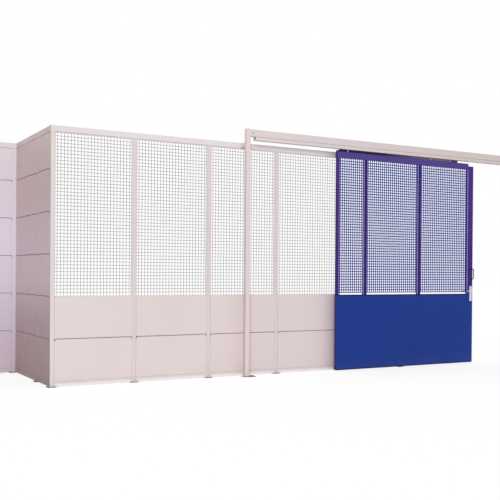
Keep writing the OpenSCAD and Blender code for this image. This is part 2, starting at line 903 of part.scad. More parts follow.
module lock_case() {
    case_y = (door_t - case_t) / 2;
    slot_w = hook_t + 2;
    slot_z = [hook_z - hook_w / 2 - 4, hook_z + 40];
    color(silver) on_door() difference() {
        union() {
            translate([door_w - case_w, case_y, case_z[0]])
                cube([case_w, case_t, case_z[1] - case_z[0]]);
            translate([door_w, (door_t - forend_w) / 2, forend_z[0]])
                cube([forend_t, forend_w, forend_z[1] - forend_z[0]]);
        }
        translate([door_w - case_w + case_wall, case_y + case_wall, case_z[0] + case_wall])
            cube([case_w - case_wall, case_t - 2 * case_wall,
                case_z[1] - case_z[0] - 2 * case_wall]);
        translate([door_w - cut, (door_t - slot_w) / 2, slot_z[0]])
            cube([forend_t + 2 * cut, slot_w, slot_z[1] - slot_z[0]]);
        translate([lock_x, -cut, lever_z]) rotate([-90, 0, 0])
            cylinder(r = spindle_r + bore_gap, h = door_t + 2 * cut);
        translate([lock_x, -cut, key_z]) cylinder_profile(0, door_t + 2 * cut);
    }
}

module lock_plates() {
    color(silver) on_door() both_faces() difference() {
        translate([lock_x - plate_w / 2, -plate_t2, plate_z]) cube([plate_w, plate_t2, plate_h]);
        translate([lock_x, -plate_t2 - cut, lever_z]) rotate([-90, 0, 0])
            cylinder(r = neck_r + bore_gap, h = plate_t2 + 2 * cut);
        translate([lock_x, -plate_t2 - cut, key_z]) cylinder_profile(0, plate_t2 + 2 * cut);
    }
}

module lever_handles() {
    neck_end = lever_out - arm_t;
    color(silver) on_door() both_faces() difference() {
        translate([lock_x, 0, lever_z]) {
            rotate([90, 0, 0]) translate([0, 0, drop_gap]) cylinder(r = neck_r, h = lever_out - drop_gap);
            translate([-lever_len + arm_h / 2, -lever_out, -arm_h / 2])
                cube([lever_len - arm_h / 2, arm_t, arm_h]);
            translate([-lever_len + arm_h / 2, -neck_end, 0]) rotate([90, 0, 0])
                cylinder(r = arm_h / 2, h = arm_t);
        }
        translate([lock_x, -neck_end, lever_z]) rotate([-90, 0, 0])
            cylinder(r = spindle_r, h = neck_end + cut);
    }
}

// The shaft through the lock, with the follower that lifts the hook's spring
module lever_spindle() {
    spindle_l = door_t + 2 * (lever_out - arm_t);
    follower_r = 10;
    follower_t = 8;
    color(steel) on_door() translate([lock_x, door_t / 2, lever_z]) rotate([-90, 0, 0]) {
        translate([0, 0, -spindle_l / 2]) cylinder(r = spindle_r, h = spindle_l);
        translate([0, 0, -follower_t / 2]) cylinder(r = follower_r, h = follower_t);
    }
}

module key_cylinder() {
    body_l = door_t + 2 * plate_t2 + 2 * cyl_out;
    color(silver) on_door() translate([lock_x, door_t / 2, key_z]) difference() {
        translate([0, -body_l / 2, 0]) cylinder_profile(0, body_l);
        rotate([-90, 0, 0]) {
            translate([0, 0, -body_l / 2 - cut])
                cylinder(r = plug_r + bore_gap, h = body_l + 2 * cut);
            translate([0, 0, -cam_t / 2 - drop_gap])
                cylinder(r = cam_gap_r, h = cam_t + 2 * drop_gap);
        }
    }
}

// The turning plug, with a keyway in each end and the cam in the middle
module key_plug() {
    plug_l = door_t + 2 * plate_t2 + 2 * cyl_out;
    keyway_w = 2.5;
    keyway_h = 8;
    keyway_d = 12;
    finger_w = 8;
    color(brass) on_door() translate([lock_x, door_t / 2, key_z]) difference() {
        union() {
            rotate([-90, 0, 0]) {
                translate([0, 0, -plug_l / 2]) cylinder(r = plug_r, h = plug_l);
                translate([0, 0, -cam_t / 2]) cylinder(r = cyl_r, h = cam_t);
            }
            translate([-cam_reach, -cam_t / 2, -finger_w / 2]) cube([cam_reach, cam_t, finger_w]);
        }
        for (y = [-plug_l / 2 - cut, plug_l / 2 - keyway_d])
            translate([-keyway_w / 2, y, -keyway_h / 2])
                cube([keyway_w, keyway_d + cut, keyway_h]);
    }
}

// The hook on its own pivot pin, drawn in: its arm up and its nose to the left
module hook_bolt() {
    tip = 6;
    color(steel) on_door() translate([hook_x, (door_t - hook_t) / 2, hook_z]) {
        rotate([-90, 0, 0]) cylinder(r = hook_w / 2, h = hook_t);
        translate([-hook_w / 2, 0, 0]) cube([hook_w, hook_t, hook_reach]);
        translate([-hook_nose, 0, hook_reach - tip]) cube([hook_nose, hook_t, tip]);
        translate([0, hook_t / 2, 0]) rotate([-90, 0, 0])
            translate([0, 0, -case_t / 2 + case_wall + run_gap])
                cylinder(r = hook_pin_r, h = case_t - 2 * case_wall - 2 * run_gap);
    }
}

corner_post();
wall_posts();
jamb_post();
side_post();
back_corner_post();
front_top_rail();
side_top_rail();
left_top_rail();
bottom_rails();
mesh_frames();
wire_mesh_1();
wire_mesh_2();
wire_mesh_3();
wire_mesh_4();
front_lower_trays();
front_upper_trays();
side_trays();
left_trays();
left_track_post();
right_track_post();
tube_caps();
wall_bracket();
header_beam();
header_brackets();
header_bolts();
door_track();
track_bolts();
track_stops();
closing_channel();
strike_box();
floor_guide();
guide_roller();
door_left_stile();
door_lock_stile();
door_top_rail();
door_bottom_rail();
door_mullions();
door_mid_rails();
door_mesh_1();
door_mesh_2();
door_mesh_3();
mesh_clamp_strips();
door_sheet();
hanger_bar();
trolleys();
wheel_axles();
pendant_bolts();
trolley_wheels_1();
trolley_wheels_2();
trolley_wheels_3();
trolley_wheels_4();
bow_handles();
lock_case();
lock_plates();
lever_handles();
lever_spindle();
key_cylinder();
key_plug();
hook_bolt();
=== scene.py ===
"""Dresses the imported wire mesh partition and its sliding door. Lengths are in metres."""

import math

import bmesh
import bpy
import numpy as np
from mathutils import Matrix, Vector


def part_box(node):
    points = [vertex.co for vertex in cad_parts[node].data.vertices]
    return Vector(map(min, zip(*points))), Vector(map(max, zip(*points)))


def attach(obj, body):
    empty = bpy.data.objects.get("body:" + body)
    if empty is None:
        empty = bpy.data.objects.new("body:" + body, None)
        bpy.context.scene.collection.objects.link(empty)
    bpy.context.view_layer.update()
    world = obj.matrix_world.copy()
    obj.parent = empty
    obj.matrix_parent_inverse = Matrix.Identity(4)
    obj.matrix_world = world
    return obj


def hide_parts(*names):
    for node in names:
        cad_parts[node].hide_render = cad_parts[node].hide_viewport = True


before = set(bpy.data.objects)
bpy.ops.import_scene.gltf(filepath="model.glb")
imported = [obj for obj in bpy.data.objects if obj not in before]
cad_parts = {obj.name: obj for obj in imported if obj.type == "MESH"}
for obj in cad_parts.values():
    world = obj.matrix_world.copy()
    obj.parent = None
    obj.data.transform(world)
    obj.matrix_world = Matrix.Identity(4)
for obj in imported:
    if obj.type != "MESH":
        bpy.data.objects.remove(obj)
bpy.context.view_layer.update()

WALL = "partition"
DOOR = "door"

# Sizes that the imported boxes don't give
PLATE_MARGIN = 0.025      # a wall post's base plate stands out this far all round
PLATE_T = 0.006           # thickness of the base plates
ANCHOR_R = 0.0055
ANCHOR_INSET = 0.0125     # from a small plate's edge to its anchor holes
TALL_W = 0.060            # tall posts
TALL_BACK = 0.010         # how far a tall post's plate runs past its left side
TALL_HOLE_X = 0.018       # from a tall post's plate edge to its holes, along X
TALL_HOLE_Y = 0.0125
WALL_T = 0.0025           # wall of a post or rail
DOOR_T = 0.003            # wall of a door tube, of the tall posts, the header and the track
TUBE_R = 0.004            # corner radius of a tube

WELD = 1e-6               # points nearer than this become one
GRID = 5e-6               # points of a solid nearer than this are the same


# -------- mesh helpers


class Build:
    """Gathers the faces of one piece."""

    def __init__(self):
        self.verts = []
        self.faces = []
        self.kinds = []

    def add(self, verts, faces, kind=0):
        """Adds faces, kind being the number of their material."""
        base = len(self.verts)
        self.verts += [tuple(v) for v in verts]
        self.faces += [tuple(i + base for i in f) for f in faces]
        self.kinds += [kind] * len(faces)

    def rings(self, rings, cap_start=False, cap_end=False, kind=0):
        """Skins a list of equal rings of points."""
        n = len(rings[0])
        verts = [p for ring in rings for p in ring]
        faces = []
        for r in range(len(rings) - 1):
            for i in range(n):
                j = (i + 1) % n
                faces.append((r * n + i, r * n + j, (r + 1) * n + j, (r + 1) * n + i))
        if cap_start:
            faces.append(tuple(reversed(range(n))))
        if cap_end:
            faces.append(tuple(range((len(rings) - 1) * n, len(rings) * n)))
        self.add(verts, faces, kind)

    def take(self, bm):
        bm.verts.index_update()
        self.add([v.co[:] for v in bm.verts], [[v.index for v in f.verts] for f in bm.faces])
        bm.free()

    def piece(self, name, body, materials, replaces, angle=40):
        """Makes the gathered faces one Blender object that rides on a body."""
        mesh = bpy.data.meshes.new(name)
        mesh.from_pydata(self.verts, [], self.faces)
        mesh.polygons.foreach_set("material_index", self.kinds)
        bm = bmesh.new()
        bm.from_mesh(mesh)
        bmesh.ops.remove_doubles(bm, verts=bm.verts, dist=WELD)
        bmesh.ops.recalc_face_normals(bm, faces=bm.faces)
        bm.to_mesh(mesh)
        bm.free()
        mesh.shade_smooth()
        mesh.set_sharp_from_angle(angle=math.radians(angle))
        for material in materials if isinstance(materials, tuple) else (materials,):
            mesh.materials.append(material)
        obj = bpy.data.objects.new(name, mesh)
        bpy.context.scene.collection.objects.link(obj)
        weighted = obj.modifiers.new("weighted", "WEIGHTED_NORMAL")
        weighted.keep_sharp = True
        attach(obj, body)
        if replaces:
            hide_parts(*replaces)
        return obj


def islands(node):
    """The boxes of a CAD node's separate solids, as (lowest, highest) corners."""
    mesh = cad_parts[node].data
    co = np.zeros(len(mesh.vertices) * 3)
    mesh.vertices.foreach_get("co", co)
    co = co.reshape(-1, 3)
    _, same = np.unique(np.round(co / GRID).astype(np.int64), axis=0, return_inverse=True)
    same = same.reshape(-1)
    parent = list(range(int(same.max()) + 1))

    def root(i):
        while parent[i] != i:
            parent[i] = parent[parent[i]]
            i = parent[i]
        return i

    for poly in mesh.polygons:
        ids = [root(int(same[v])) for v in poly.vertices]
        for other in ids[1:]:
            a, b = root(ids[0]), root(other)
            if a != b:
                parent[b] = a
    groups = {}
    for v, s in enumerate(same):
        groups.setdefault(root(int(s)), []).append(v)
    boxes = [(Vector(co[g].min(0)), Vector(co[g].max(0))) for g in groups.values()]
    return sorted(boxes, key=lambda b: tuple(round(c, 5) for c in b[0]) + tuple(b[1]))


def place(axis, u, v, w):
    """A point from its two cross coordinates u, v and its place w along axis."""
    return {"x": (w, u, v), "y": (u, w, v), "z": (u, v, w)}[axis]


def cross(axis, p):
    """The cross coordinates and the coordinate along axis of a point."""
    return {"x": (p[1], p[2], p[0]), "y": (p[0], p[2], p[1]), "z": (p[0], p[1], p[2])}[axis]


def round_rect(u0, v0, u1, v1, r, seg=3):
    """A rounded rectangle as a list of points."""
    r = max(min(r, (u1 - u0) / 2 - WELD, (v1 - v0) / 2 - WELD), 10 * WELD)
    points = []
    corners = ((u1 - r, v0 + r, -90), (u1 - r, v1 - r, 0), (u0 + r, v1 - r, 90),
               (u0 + r, v0 + r, 180))
    for cu, cv, start in corners:
        for k in range(seg + 1):
            a = math.radians(start + 90 * k / seg)
            points.append((cu + r * math.cos(a), cv + r * math.sin(a)))
    return points


def arc(cu, cv, radius, start, end, seg=4):
    """Points along an arc from one angle to another, in degrees."""
    angles = [math.radians(start + (end - start) * k / seg) for k in range(seg + 1)]
    return [(cu + radius * math.cos(a), cv + radius * math.sin(a)) for a in angles]


INNER_R = 0.0006          # smallest radius inside a tube's corner


def tube(build, lo, hi, axis, r, t, kind=0):
    """A rectangular tube with rounded corners and open ends."""
    u0, v0, w0 = cross(axis, lo)
    u1, v1, w1 = cross(axis, hi)
    outer = round_rect(u0, v0, u1, v1, r)
    inner = round_rect(u0 + t, v0 + t, u1 - t, v1 - t, max(r - t, INNER_R))
    ring = lambda pts, w: [place(axis, u, v, w) for u, v in pts]
    order = ((inner, w0), (outer, w0), (outer, w1), (inner, w1), (inner, w0))
    build.rings([ring(points, w) for points, w in order], kind=kind)


def profile(build, points, axis, w0, w1):
    """Extrudes a closed outline along axis, with flat ends."""
    ring = lambda w: [place(axis, u, v, w) for u, v in points]
    build.rings([ring(w0), ring(w1)], cap_start=True, cap_end=True)


BLOCK_SHARE = 0.45        # a block's edges are rounded by at most this share of its thickness


def block(build, lo, hi, r, seg=2):
    """A box with rounded edges."""
    bm = bmesh.new()
    bmesh.ops.create_cube(bm, size=1.0)
    size = [b - a for a, b in zip(lo, hi)]
    mid = [(a + b) / 2 for a, b in zip(lo, hi)]
    for v in bm.verts:
        v.co = Vector([c * s + m for c, s, m in zip(v.co, size, mid)])
    r = min(r, min(size) * BLOCK_SHARE)
    bmesh.ops.bevel(bm, geom=list(bm.edges), offset=r, segments=seg, affect="EDGES", profile=0.5)
    build.take(bm)


def turn(axis_dir):
    """The rotation that takes +Z to a direction."""
    return Vector((0, 0, 1)).rotation_difference(Vector(axis_dir)).to_matrix()


def lathe(build, centre, direction, outline, seg=24):
    """Turns (radius, height) pairs about an axis through centre. Ends off the axis are closed."""
    rot = turn(direction)
    angles = [2 * math.pi * k / seg for k in range(seg)]
    rings = [[Vector(centre) + rot @ Vector((radius * math.cos(a), radius * math.sin(a), height))
              for a in angles] for radius, height in outline]
    build.rings(rings, cap_start=outline[0][0] > WELD, cap_end=outline[-1][0] > WELD)


HEX_EDGE = 0.0003         # worn edge at a hexagon's foot
HEX_CHAMFER = 0.0012
CHAMFER_SLOPE = 1.4


def hex_head(build, centre, direction, across, height):
    """A hexagon head or nut with its chamfered top."""
    r = across / math.sqrt(3)
    outline = ((r - HEX_EDGE, 0), (r, HEX_EDGE), (r, height - HEX_CHAMFER),
               (r - HEX_CHAMFER * CHAMFER_SLOPE, height))
    lathe(build, centre, direction, outline, seg=6)


def face_bolt(build, x, y, z, washer, head):
    """A hexagon bolt and its washer on a face towards -Y."""
    lathe(build, (x, y, z), (0, -1, 0), washer)
    hex_head(build, (x, y - washer[-1][1], z), (0, -1, 0), *head)


DOME_STEPS = ((1, 0.35), (0.86, 0.72), (0.55, 0.94), (0.18, 1))    # shares of radius and height
DOME_SUNK = 0.0002


def dome(build, centre, direction, r, h, seg=12):
    """A low round rivet or screw head."""
    outline = [(r, -DOME_SUNK)] + [(r * across, h * up) for across, up in DOME_STEPS]
    lathe(build, centre, direction, outline, seg)


def sweep(build, path, radii, seg, spread):
    """A round or oval bar along a path. radii are per point (across, along spread)."""
    path = [Vector(p) for p in path]
    rings = []
    for i, p in enumerate(path):
        ahead = (path[min(i + 1, len(path) - 1)] - path[max(i - 1, 0)]).normalized()
        side = ahead.cross(Vector(spread)).normalized()
        other = side.cross(ahead).normalized()
        a, b = radii[i]
        rings.append([p + side * a * math.cos(2 * math.pi * k / seg) +
                      other * b * math.sin(2 * math.pi * k / seg) for k in range(seg)])
    build.rings(rings, cap_start=True, cap_end=True)


def footprint(lo, hi):
    """The four corners of a box as seen from above."""
    return [(lo[0], lo[1]), (hi[0], lo[1]), (hi[0], hi[1]), (lo[0], hi[1])]


HOLE_CELL = 1.6           # half a hole's square cell, in hole radii


def holed_plate(build, lo, hi, holes, r, seg=16, kind=1):
    """A flat plate with round holes through it, each in a square cell of its own."""
    cell = r * HOLE_CELL
    xs = sorted({lo[0], hi[0], *[round(x + s * cell, 6) for x, _ in holes for s in (-1, 1)]})
    ys = sorted({lo[1], hi[1], *[round(y + s * cell, 6) for _, y in holes for s in (-1, 1)]})
    heights = (lo[2], hi[2])
    for x0, x1 in zip(xs, xs[1:]):
        for y0, y1 in zip(ys, ys[1:]):
            hole = next((h for h in holes if x0 < h[0] < x1 and y0 < h[1] < y1), None)
            if hole is None:
                for z in heights:
                    corners = footprint((x0, y0), (x1, y1))
                    build.add([(*p, z) for p in corners], [(0, 1, 2, 3)], kind)
                continue
            round_ring, square = [], []
            for k in range(seg):
                a = 2 * math.pi * (k + 0.5) / seg
                c, s = math.cos(a), math.sin(a)
                m = max(abs(c), abs(s))
                round_ring.append((hole[0] + r * c, hole[1] + r * s))
                square.append((hole[0] + cell * c / m, hole[1] + cell * s / m))
            for z in heights:
                build.rings([[(*p, z) for p in round_ring], [(*p, z) for p in square]], kind=kind)
                for sx, sy in ((-1, -1), (1, -1), (1, 1), (-1, 1)):
                    at = math.atan2(sy, sx) % (2 * math.pi)
                    k = int(at / (2 * math.pi) * seg - 0.5)
                    a, b = square[k % seg], square[(k + 1) % seg]
                    tip = (hole[0] + sx * cell, hole[1] + sy * cell, z)
                    build.add([(*a, z), (*b, z), tip], [(0, 1, 2)], kind)
            build.rings([[(*p, z) for p in round_ring] for z in heights], kind=kind)
    build.rings([[(*p, z) for p in footprint(lo, hi)] for z in heights], kind=kind)


BEAD = 0.0045             # leg of the weld bead at a post's foot
BEAD_SUNK = 0.001         # how far its top edge lies in the tube
BEAD_BELLY = (0.45, 0.75)             # the middle of its face, as shares of the leg
RIPPLE_L, RIPPLE_SHARE = 0.006, 0.18


def weld_bead(build, lo, hi, z):
    """A rippled fillet round the foot of a tube."""
    corners = footprint(lo, hi)

    def loop(out, up):
        points = []
        for (x0, y0), (x1, y1) in zip(corners, corners[1:] + corners[:1]):
            length = math.hypot(x1 - x0, y1 - y0)
            nx, ny = (y1 - y0) / length, -(x1 - x0) / length
            steps = max(4, int(length / RIPPLE_L) * 2)
            for k in range(steps):
                f = k / steps
                wave = 1 + RIPPLE_SHARE * math.cos(math.pi * k)
                points.append((x0 + (x1 - x0) * f + nx * out * wave,
                               y0 + (y1 - y0) * f + ny * out * wave, z + up * wave))
        return points

    middle = [BEAD * share for share in BEAD_BELLY]
    build.rings([loop(-BEAD_SUNK, BEAD), loop(*middle), loop(BEAD, 0.0)])


# -------- materials


def linear(rgb):
    """A display colour from 0 to 255 as linear light."""
    shares = [c / 255 for c in rgb]
    return tuple(((s + 0.055) / 1.055) ** 2.4 if s > 0.04045 else s / 12.92 for s in shares)


DUST_RGB = (150, 138, 128)
DUST_TOP = 0.22           # dust thins out up to this height
GRAIN_HEIGHT = 0.0004

# Noises of a finish as scale and detail: slow change, patches, scuffs, dust and gloss
SLOW, PATCHES, SCUFFS, SPECKS = (0.9, 3.0), (14.0, 4.0), (26.0, 6.0), (9.0, 5.0)
GLOSS, BRUSH_GLOSS = (3.5, 4.0), (6.0, 3.0)
SCUFF_STRETCH, SCUFF_ROUGH, SCUFF_FROM, SCUFF_TO = (1.0, 1.0, 0.18), 0.62, 0.62, 0.74
LIGHTEN, DARKEN = 0.7, 1.4            # how far a finish's colours lie apart, in its patch value


def add_node(tree, kind, **inputs):
    """Adds a shader node. Each of its inputs gets a value or another node's output."""
    node = tree.nodes.new(kind)
    for name, value in inputs.items():
        socket = node.inputs[name.replace("_", " ")]
        if isinstance(value, bpy.types.NodeSocket):
            tree.links.new(value, socket)
        else:
            socket.default_value = value
    return node


def finish(name, rgb=None, rough=0.5, metal=0.0, patch=0.05, grain=900.0, grain_depth=0.15,
           dust=0.0, warm=(1.0, 1.0, 1.0), scuff=0.0, brushed=None, specular=0.5, fade=None):
    """A procedural finish: slow colour variation, grain, uneven gloss, scuffs, dust near the floor.

    In place of one colour it can have a fade: an axis and the (place, colour) pairs along it, which
    paints light and shade along that axis.
    """
    mat = bpy.data.materials.new(name)
    mat.use_nodes = True
    tree = mat.node_tree
    links = tree.links
    shader = tree.nodes["Principled BSDF"]
    shader.inputs["Metallic"].default_value = metal
    shader.inputs["Specular IOR Level"].default_value = specular
    axis, stops = fade or ("X", ((0.0, rgb),))
    base = tuple(map(max, zip(*[linear(stop_rgb) for _, stop_rgb in stops])))
    place_in = add_node(tree, "ShaderNodeTexCoord").outputs["Object"]

    def noise(scale, detail=2.0, stretch=None, roughness=0.5):
        at = place_in
        if stretch:
            at = add_node(tree, "ShaderNodeMapping", Vector=at, Scale=stretch).outputs["Vector"]
        node = add_node(tree, "ShaderNodeTexNoise", Vector=at, Scale=scale, Detail=detail,
                        Roughness=roughness)
        return node.outputs["Fac"]

    def spread(value, low, high, from_low=0.3, from_high=0.7):
        node = add_node(tree, "ShaderNodeMapRange", Value=value, From_Min=from_low,
                        From_Max=from_high, To_Min=low, To_Max=high)
        return node.outputs["Result"]

    def mix(factor, a, b, blend="MIX"):
        """Mixes two colours, each a linear colour or another node's output."""
        node = add_node(tree, "ShaderNodeMix")
        node.data_type, node.blend_type = "RGBA", blend
        if isinstance(factor, float):
            node.inputs["Factor"].default_value = factor
        else:
            links.new(factor, node.inputs["Factor"])
        for socket, value in zip([s for s in node.inputs if s.type == "RGBA"], (a, b)):
            if isinstance(value, tuple):
                socket.default_value = (*value, 1.0)
            else:
                links.new(value, socket)
        return [s for s in node.outputs if s.type == "RGBA"][0]

    def place_along(axis):
        return add_node(tree, "ShaderNodeSeparateXYZ", Vector=place_in).outputs[axis]

    dark = tuple(c * (1 - patch) for c in base)
    light = tuple(min(1.0, c * w * (1 + patch * LIGHTEN)) for c, w in zip(base, warm))
    colour = mix(spread(noise(*SLOW), 0.0, 1.0), dark, light)
    worn = tuple(c * (1 - patch * DARKEN) for c in base)
    colour = mix(spread(noise(*PATCHES), 0.0, 0.35), colour, worn)
    if fade:
        first, last = stops[0][0], stops[-1][0]
        along = spread(place_along(axis), 0.0, 1.0, first, last)
        ramp = add_node(tree, "ShaderNodeValToRGB", Fac=along)
        elements = ramp.color_ramp.elements
        while len(elements) < len(stops):
            elements.new(0.5)
        for element, (at, stop_rgb) in zip(elements, stops):
            element.position = (at - first) / (last - first)
            element.color = (*[c / b for c, b in zip(linear(stop_rgb), base)], 1.0)
        colour = mix(1.0, colour, ramp.outputs["Color"], "MULTIPLY")
    if scuff:
        marks = noise(*SCUFFS, SCUFF_STRETCH, SCUFF_ROUGH)
        marks = spread(marks, 0.0, scuff, SCUFF_FROM, SCUFF_TO)
        colour = mix(marks, colour, tuple(min(1.0, c * 1.25 + 0.02) for c in base))
    if dust:
        patchy = add_node(tree, "ShaderNodeMath")
        patchy.operation = "MULTIPLY"
        links.new(spread(place_along("Z"), dust, 0.0, 0.0, DUST_TOP), patchy.inputs[0])
        links.new(spread(noise(*SPECKS), 0.3, 1.0), patchy.inputs[1])
        colour = mix(patchy.outputs[0], colour, linear(DUST_RGB))
    links.new(colour, shader.inputs["Base Color"])
    if brushed:
        gloss = spread(noise(*BRUSH_GLOSS, brushed), rough * 0.75, rough * 1.3)
    else:
        gloss = spread(noise(*GLOSS), rough * 0.85, min(1.0, rough * 1.2))
    links.new(gloss, shader.inputs["Roughness"])
    bump = add_node(tree, "ShaderNodeBump", Strength=grain_depth, Distance=GRAIN_HEIGHT,
                    Height=noise(grain, 2.0, brushed))
    links.new(bump.outputs["Normal"], shader.inputs["Normal"])
    return mat


POWDER = {"grain": 700, "grain_depth": 0.12, "scuff": 0.1}
CREAM_COAT = {"rough": 0.42, "patch": 0.025, **POWDER}
NAVY_COAT = {"specular": 0.12, **POWDER}
DARK_COAT = {"specular": 0.12, "patch": 0.08, "scuff": 0.2}
SHADOW = {"rough": 0.7, "patch": 0.08, "grain": 500, "grain_depth": 0.2, "specular": 0.2}

# The cream coats darken along X: painted shade, as the light falls off along the front wall.
CREAM = finish(
    "cream_powder_coat", dust=0.12, **CREAM_COAT,
    fade=("X", ((0.0, (229, 218, 217)), (4.0, (224, 208, 208)), (7.6, (212, 198, 195)))))
POST_CREAM = finish(
    "cream_post_coat", dust=0.12, **CREAM_COAT,
    fade=("X", ((0.0, (225, 213, 213)), (4.0, (219, 206, 206)), (7.6, (210, 196, 193)))))
# The tall posts' left sides and the wall bracket take a shaded copy of the cream, darker below 1 m:
# painted shade.
TALL_SIDE = finish(
    "shaded_post_coat", **CREAM_COAT,
    fade=("Z", ((0.0, (200, 184, 184)), (1.0, (202, 186, 186)), (1.3, (222, 208, 208)),
                (3.2, (224, 210, 210)))))
RAIL_CREAM = finish("pale_rail_coat", (230, 222, 224), 0.42, patch=0.02, **POWDER)
FOOT_CREAM = finish("pale_foot_coat", (240, 233, 233), 0.42, patch=0.02, **POWDER)
# The header and track take a darker copy of the cream, with the same fade along X: painted shade.
BEAM = finish(
    "cream_header_coat", **CREAM_COAT,
    fade=("X", ((2.5, (223, 211, 212)), (4.5, (214, 203, 201)), (7.6, (204, 189, 186)))))
# The left wall's coat darkens towards the floor: painted shade.
LEFT = finish(
    "pale_left_coat", **CREAM_COAT,
    fade=("Z", ((0.0, (202, 187, 201)), (0.9, (216, 203, 216)), (1.8, (228, 219, 232)),
                (3.0, (230, 219, 225)))))
# The side wall's coat is a shaded copy of the cream: painted shade, darker towards the floor, with
# a painted sheen at mid height.
SIDE = finish(
    "shaded_mauve_side_coat", rough=0.4, patch=0.04, **POWDER,
    fade=("Z", ((0.0, (152, 129, 127)), (0.75, (163, 143, 146)), (1.2, (190, 170, 176)),
                (1.6, (193, 172, 179)), (2.25, (184, 163, 163)), (3.0, (193, 172, 169)))))
SEAM = finish("seam_shadow", (156, 138, 141), **SHADOW)
LEFT_SEAM = finish("left_seam_shadow", (178, 160, 170), **SHADOW)
SIDE_SEAM = finish("side_seam_shadow", (148, 128, 130), **SHADOW)
# The base plates' near-black is partly painted shade at the posts' feet.
PLATE = finish("dark_foot_steel_and_shade", (44, 41, 41), patch=0.15, grain=400, grain_depth=0.25,
               specular=0.3, scuff=0.25)
WIRE = finish("grey_wire", (60, 60, 59), 0.55, patch=0.06, grain=1200, grain_depth=0.2,
              specular=0.2)
# The door frame's navy lightens upwards, its top rail takes a lighter copy and its mullions a
# darker one: painted light and shade.
NAVY = finish(
    "navy_powder_coat", dust=0.06, **NAVY_COAT,
    fade=("Z", ((0.0, (56, 36, 115)), (1.2, (60, 38, 117)), (2.0, (66, 42, 124)),
                (3.0, (69, 45, 127)))))
NAVY_RAIL = finish("lit_navy_rail_coat", (80, 65, 138), **NAVY_COAT)
NAVY_DEEP = finish("shaded_navy_mullion_coat", (42, 30, 107), dust=0.06, specular=0.1, **POWDER)
# The edge trims' near-black is partly painted shade along the sheet's edges.
TRIM = finish("dark_edge_trim_and_shade", (18, 12, 58), 0.55, patch=0.08, grain=700, specular=0.1)
SHEET = finish("blue_powder_coat", (28, 57, 138), grain=650, grain_depth=0.14, dust=0.06,
               scuff=0.1, specular=0.12)
MESH_BLUE = finish("blue_mesh_coat", (10, 52, 156), patch=0.06, specular=0.06)
# The clamp strips' pale lilac is a painted highlight of the mullions' lit left edges.
LILAC = finish("lilac_highlight_strip_coat", (190, 168, 228), 0.4, grain_depth=0.12)
BUFFER = finish("dark_buffer_coat", (28, 20, 52), **DARK_COAT)
# The hanger's near-black is painted shade under the track, over its own dark coat; the lighter
# stretch towards its right end is painted light.
HANGER = finish(
    "shaded_hanger_coat", **DARK_COAT,
    fade=("X", ((3.94, (28, 20, 52)), (4.65, (28, 20, 52)), (5.3, (100, 84, 108)),
                (5.8, (110, 94, 115)), (6.05, (60, 44, 72)))))
SILVER = finish("brushed_stainless", (228, 222, 236), 0.3, metal=1.0, grain=500,
                grain_depth=0.12, brushed=(1.0, 1.0, 0.04))
ZINC = finish("zinc_plated", (176, 174, 168), 0.38, metal=1.0, patch=0.16, grain=350,
              grain_depth=0.2, warm=(1.04, 1.0, 0.93))
BLACK = finish("black_satin_coat", (22, 22, 24), 0.35, patch=0.12, grain_depth=0.12, scuff=0.1)
NYLON = finish("black_nylon", (26, 26, 27), 0.55, patch=0.15, grain=500, grain_depth=0.25)
RUBBER = finish("black_rubber", (24, 23, 23), 0.8, patch=0.2, grain=300, grain_depth=0.35)
BRASS = finish("key_brass", (198, 168, 96), 0.3, metal=1.0, patch=0.1, grain=600, grain_depth=0.12)

EDGE_BEVEL = 0.0005
EDGE_ANGLE = 45           # edges sharper than this are softened
EDGE_WELD = 1e-5


def dress(node, material):
    """Gives a CAD node its material, with its edges softened."""
    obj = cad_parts[node]
    obj.data.materials.clear()
    obj.data.materials.append(material)
    for poly in obj.data.polygons:
        poly.material_index = 0
    obj.modifiers.new("weld", "WELD").merge_threshold = EDGE_WELD
    bevel = obj.modifiers.new("bevel", "BEVEL")
    bevel.width = EDGE_BEVEL
    bevel.segments = 2
    bevel.limit_method = "ANGLE"
    bevel.angle_limit = math.radians(EDGE_ANGLE)
    obj.modifiers.new("weighted", "WEIGHTED_NORMAL").keep_sharp = True


# -------- the wall


def post(build, lo, hi):
    """A wall post: plate with four anchor holes, as kind 1, weld and tube."""
    holes = [(x, y) for x in (lo.x + ANCHOR_INSET, hi.x - ANCHOR_INSET)
             for y in (lo.y + ANCHOR_INSET, hi.y - ANCHOR_INSET)]
    holed_plate(build, lo, (hi.x, hi.y, PLATE_T), holes, ANCHOR_R)
    a = (lo.x + PLATE_MARGIN, lo.y + PLATE_MARGIN, PLATE_T)
    b = (hi.x - PLATE_MARGIN, hi.y - PLATE_MARGIN, hi.z)
    tube(build, a, b, "z", TUBE_R, WALL_T)
    weld_bead(build, a, b, PLATE_T)


def posts(name, node, material):
    """The wall posts of a node. A post's third material is for its left side."""
    build = Build()
    for lo, hi in islands(node):
        post(build, lo, hi)
    return build.piece(name, WALL, (material, PLATE, SIDE), [node])


corner = posts("corner_post_tube", "corner_post", CREAM)
posts("wall_post_tubes", "wall_posts", POST_CREAM)
posts("jamb_post_tube", "jamb_post", POST_CREAM)
posts("back_corner_tube", "back_corner_post", LEFT)
posts("side_post_tube", "side_post", SIDE)

OUTWARD = -0.7            # a face looks towards -X if its normal's X is below this


def paint_left_side(obj, kind):
    """Gives the painted faces of a post that look towards -X another of its materials."""
    for poly in obj.data.polygons:
        if poly.normal.x < OUTWARD and poly.material_index == 0:
            poly.material_index = kind


# The side wall's shaded coat, painted shade, goes round the corner post's outer face
paint_left_side(corner, 2)


def rails(name, node, material, axis):
    """The top rails of a node."""
    build = Build()
    for lo, hi in islands(node):
        tube(build, lo, hi, axis, TUBE_R, WALL_T)
    build.piece(name, WALL, material, [node])


rails("front_rail_tubes", "front_top_rail", RAIL_CREAM, "x")
rails("left_rail_tube", "left_top_rail", LEFT, "x")
rails("side_rail_tube", "side_top_rail", SIDE, "y")

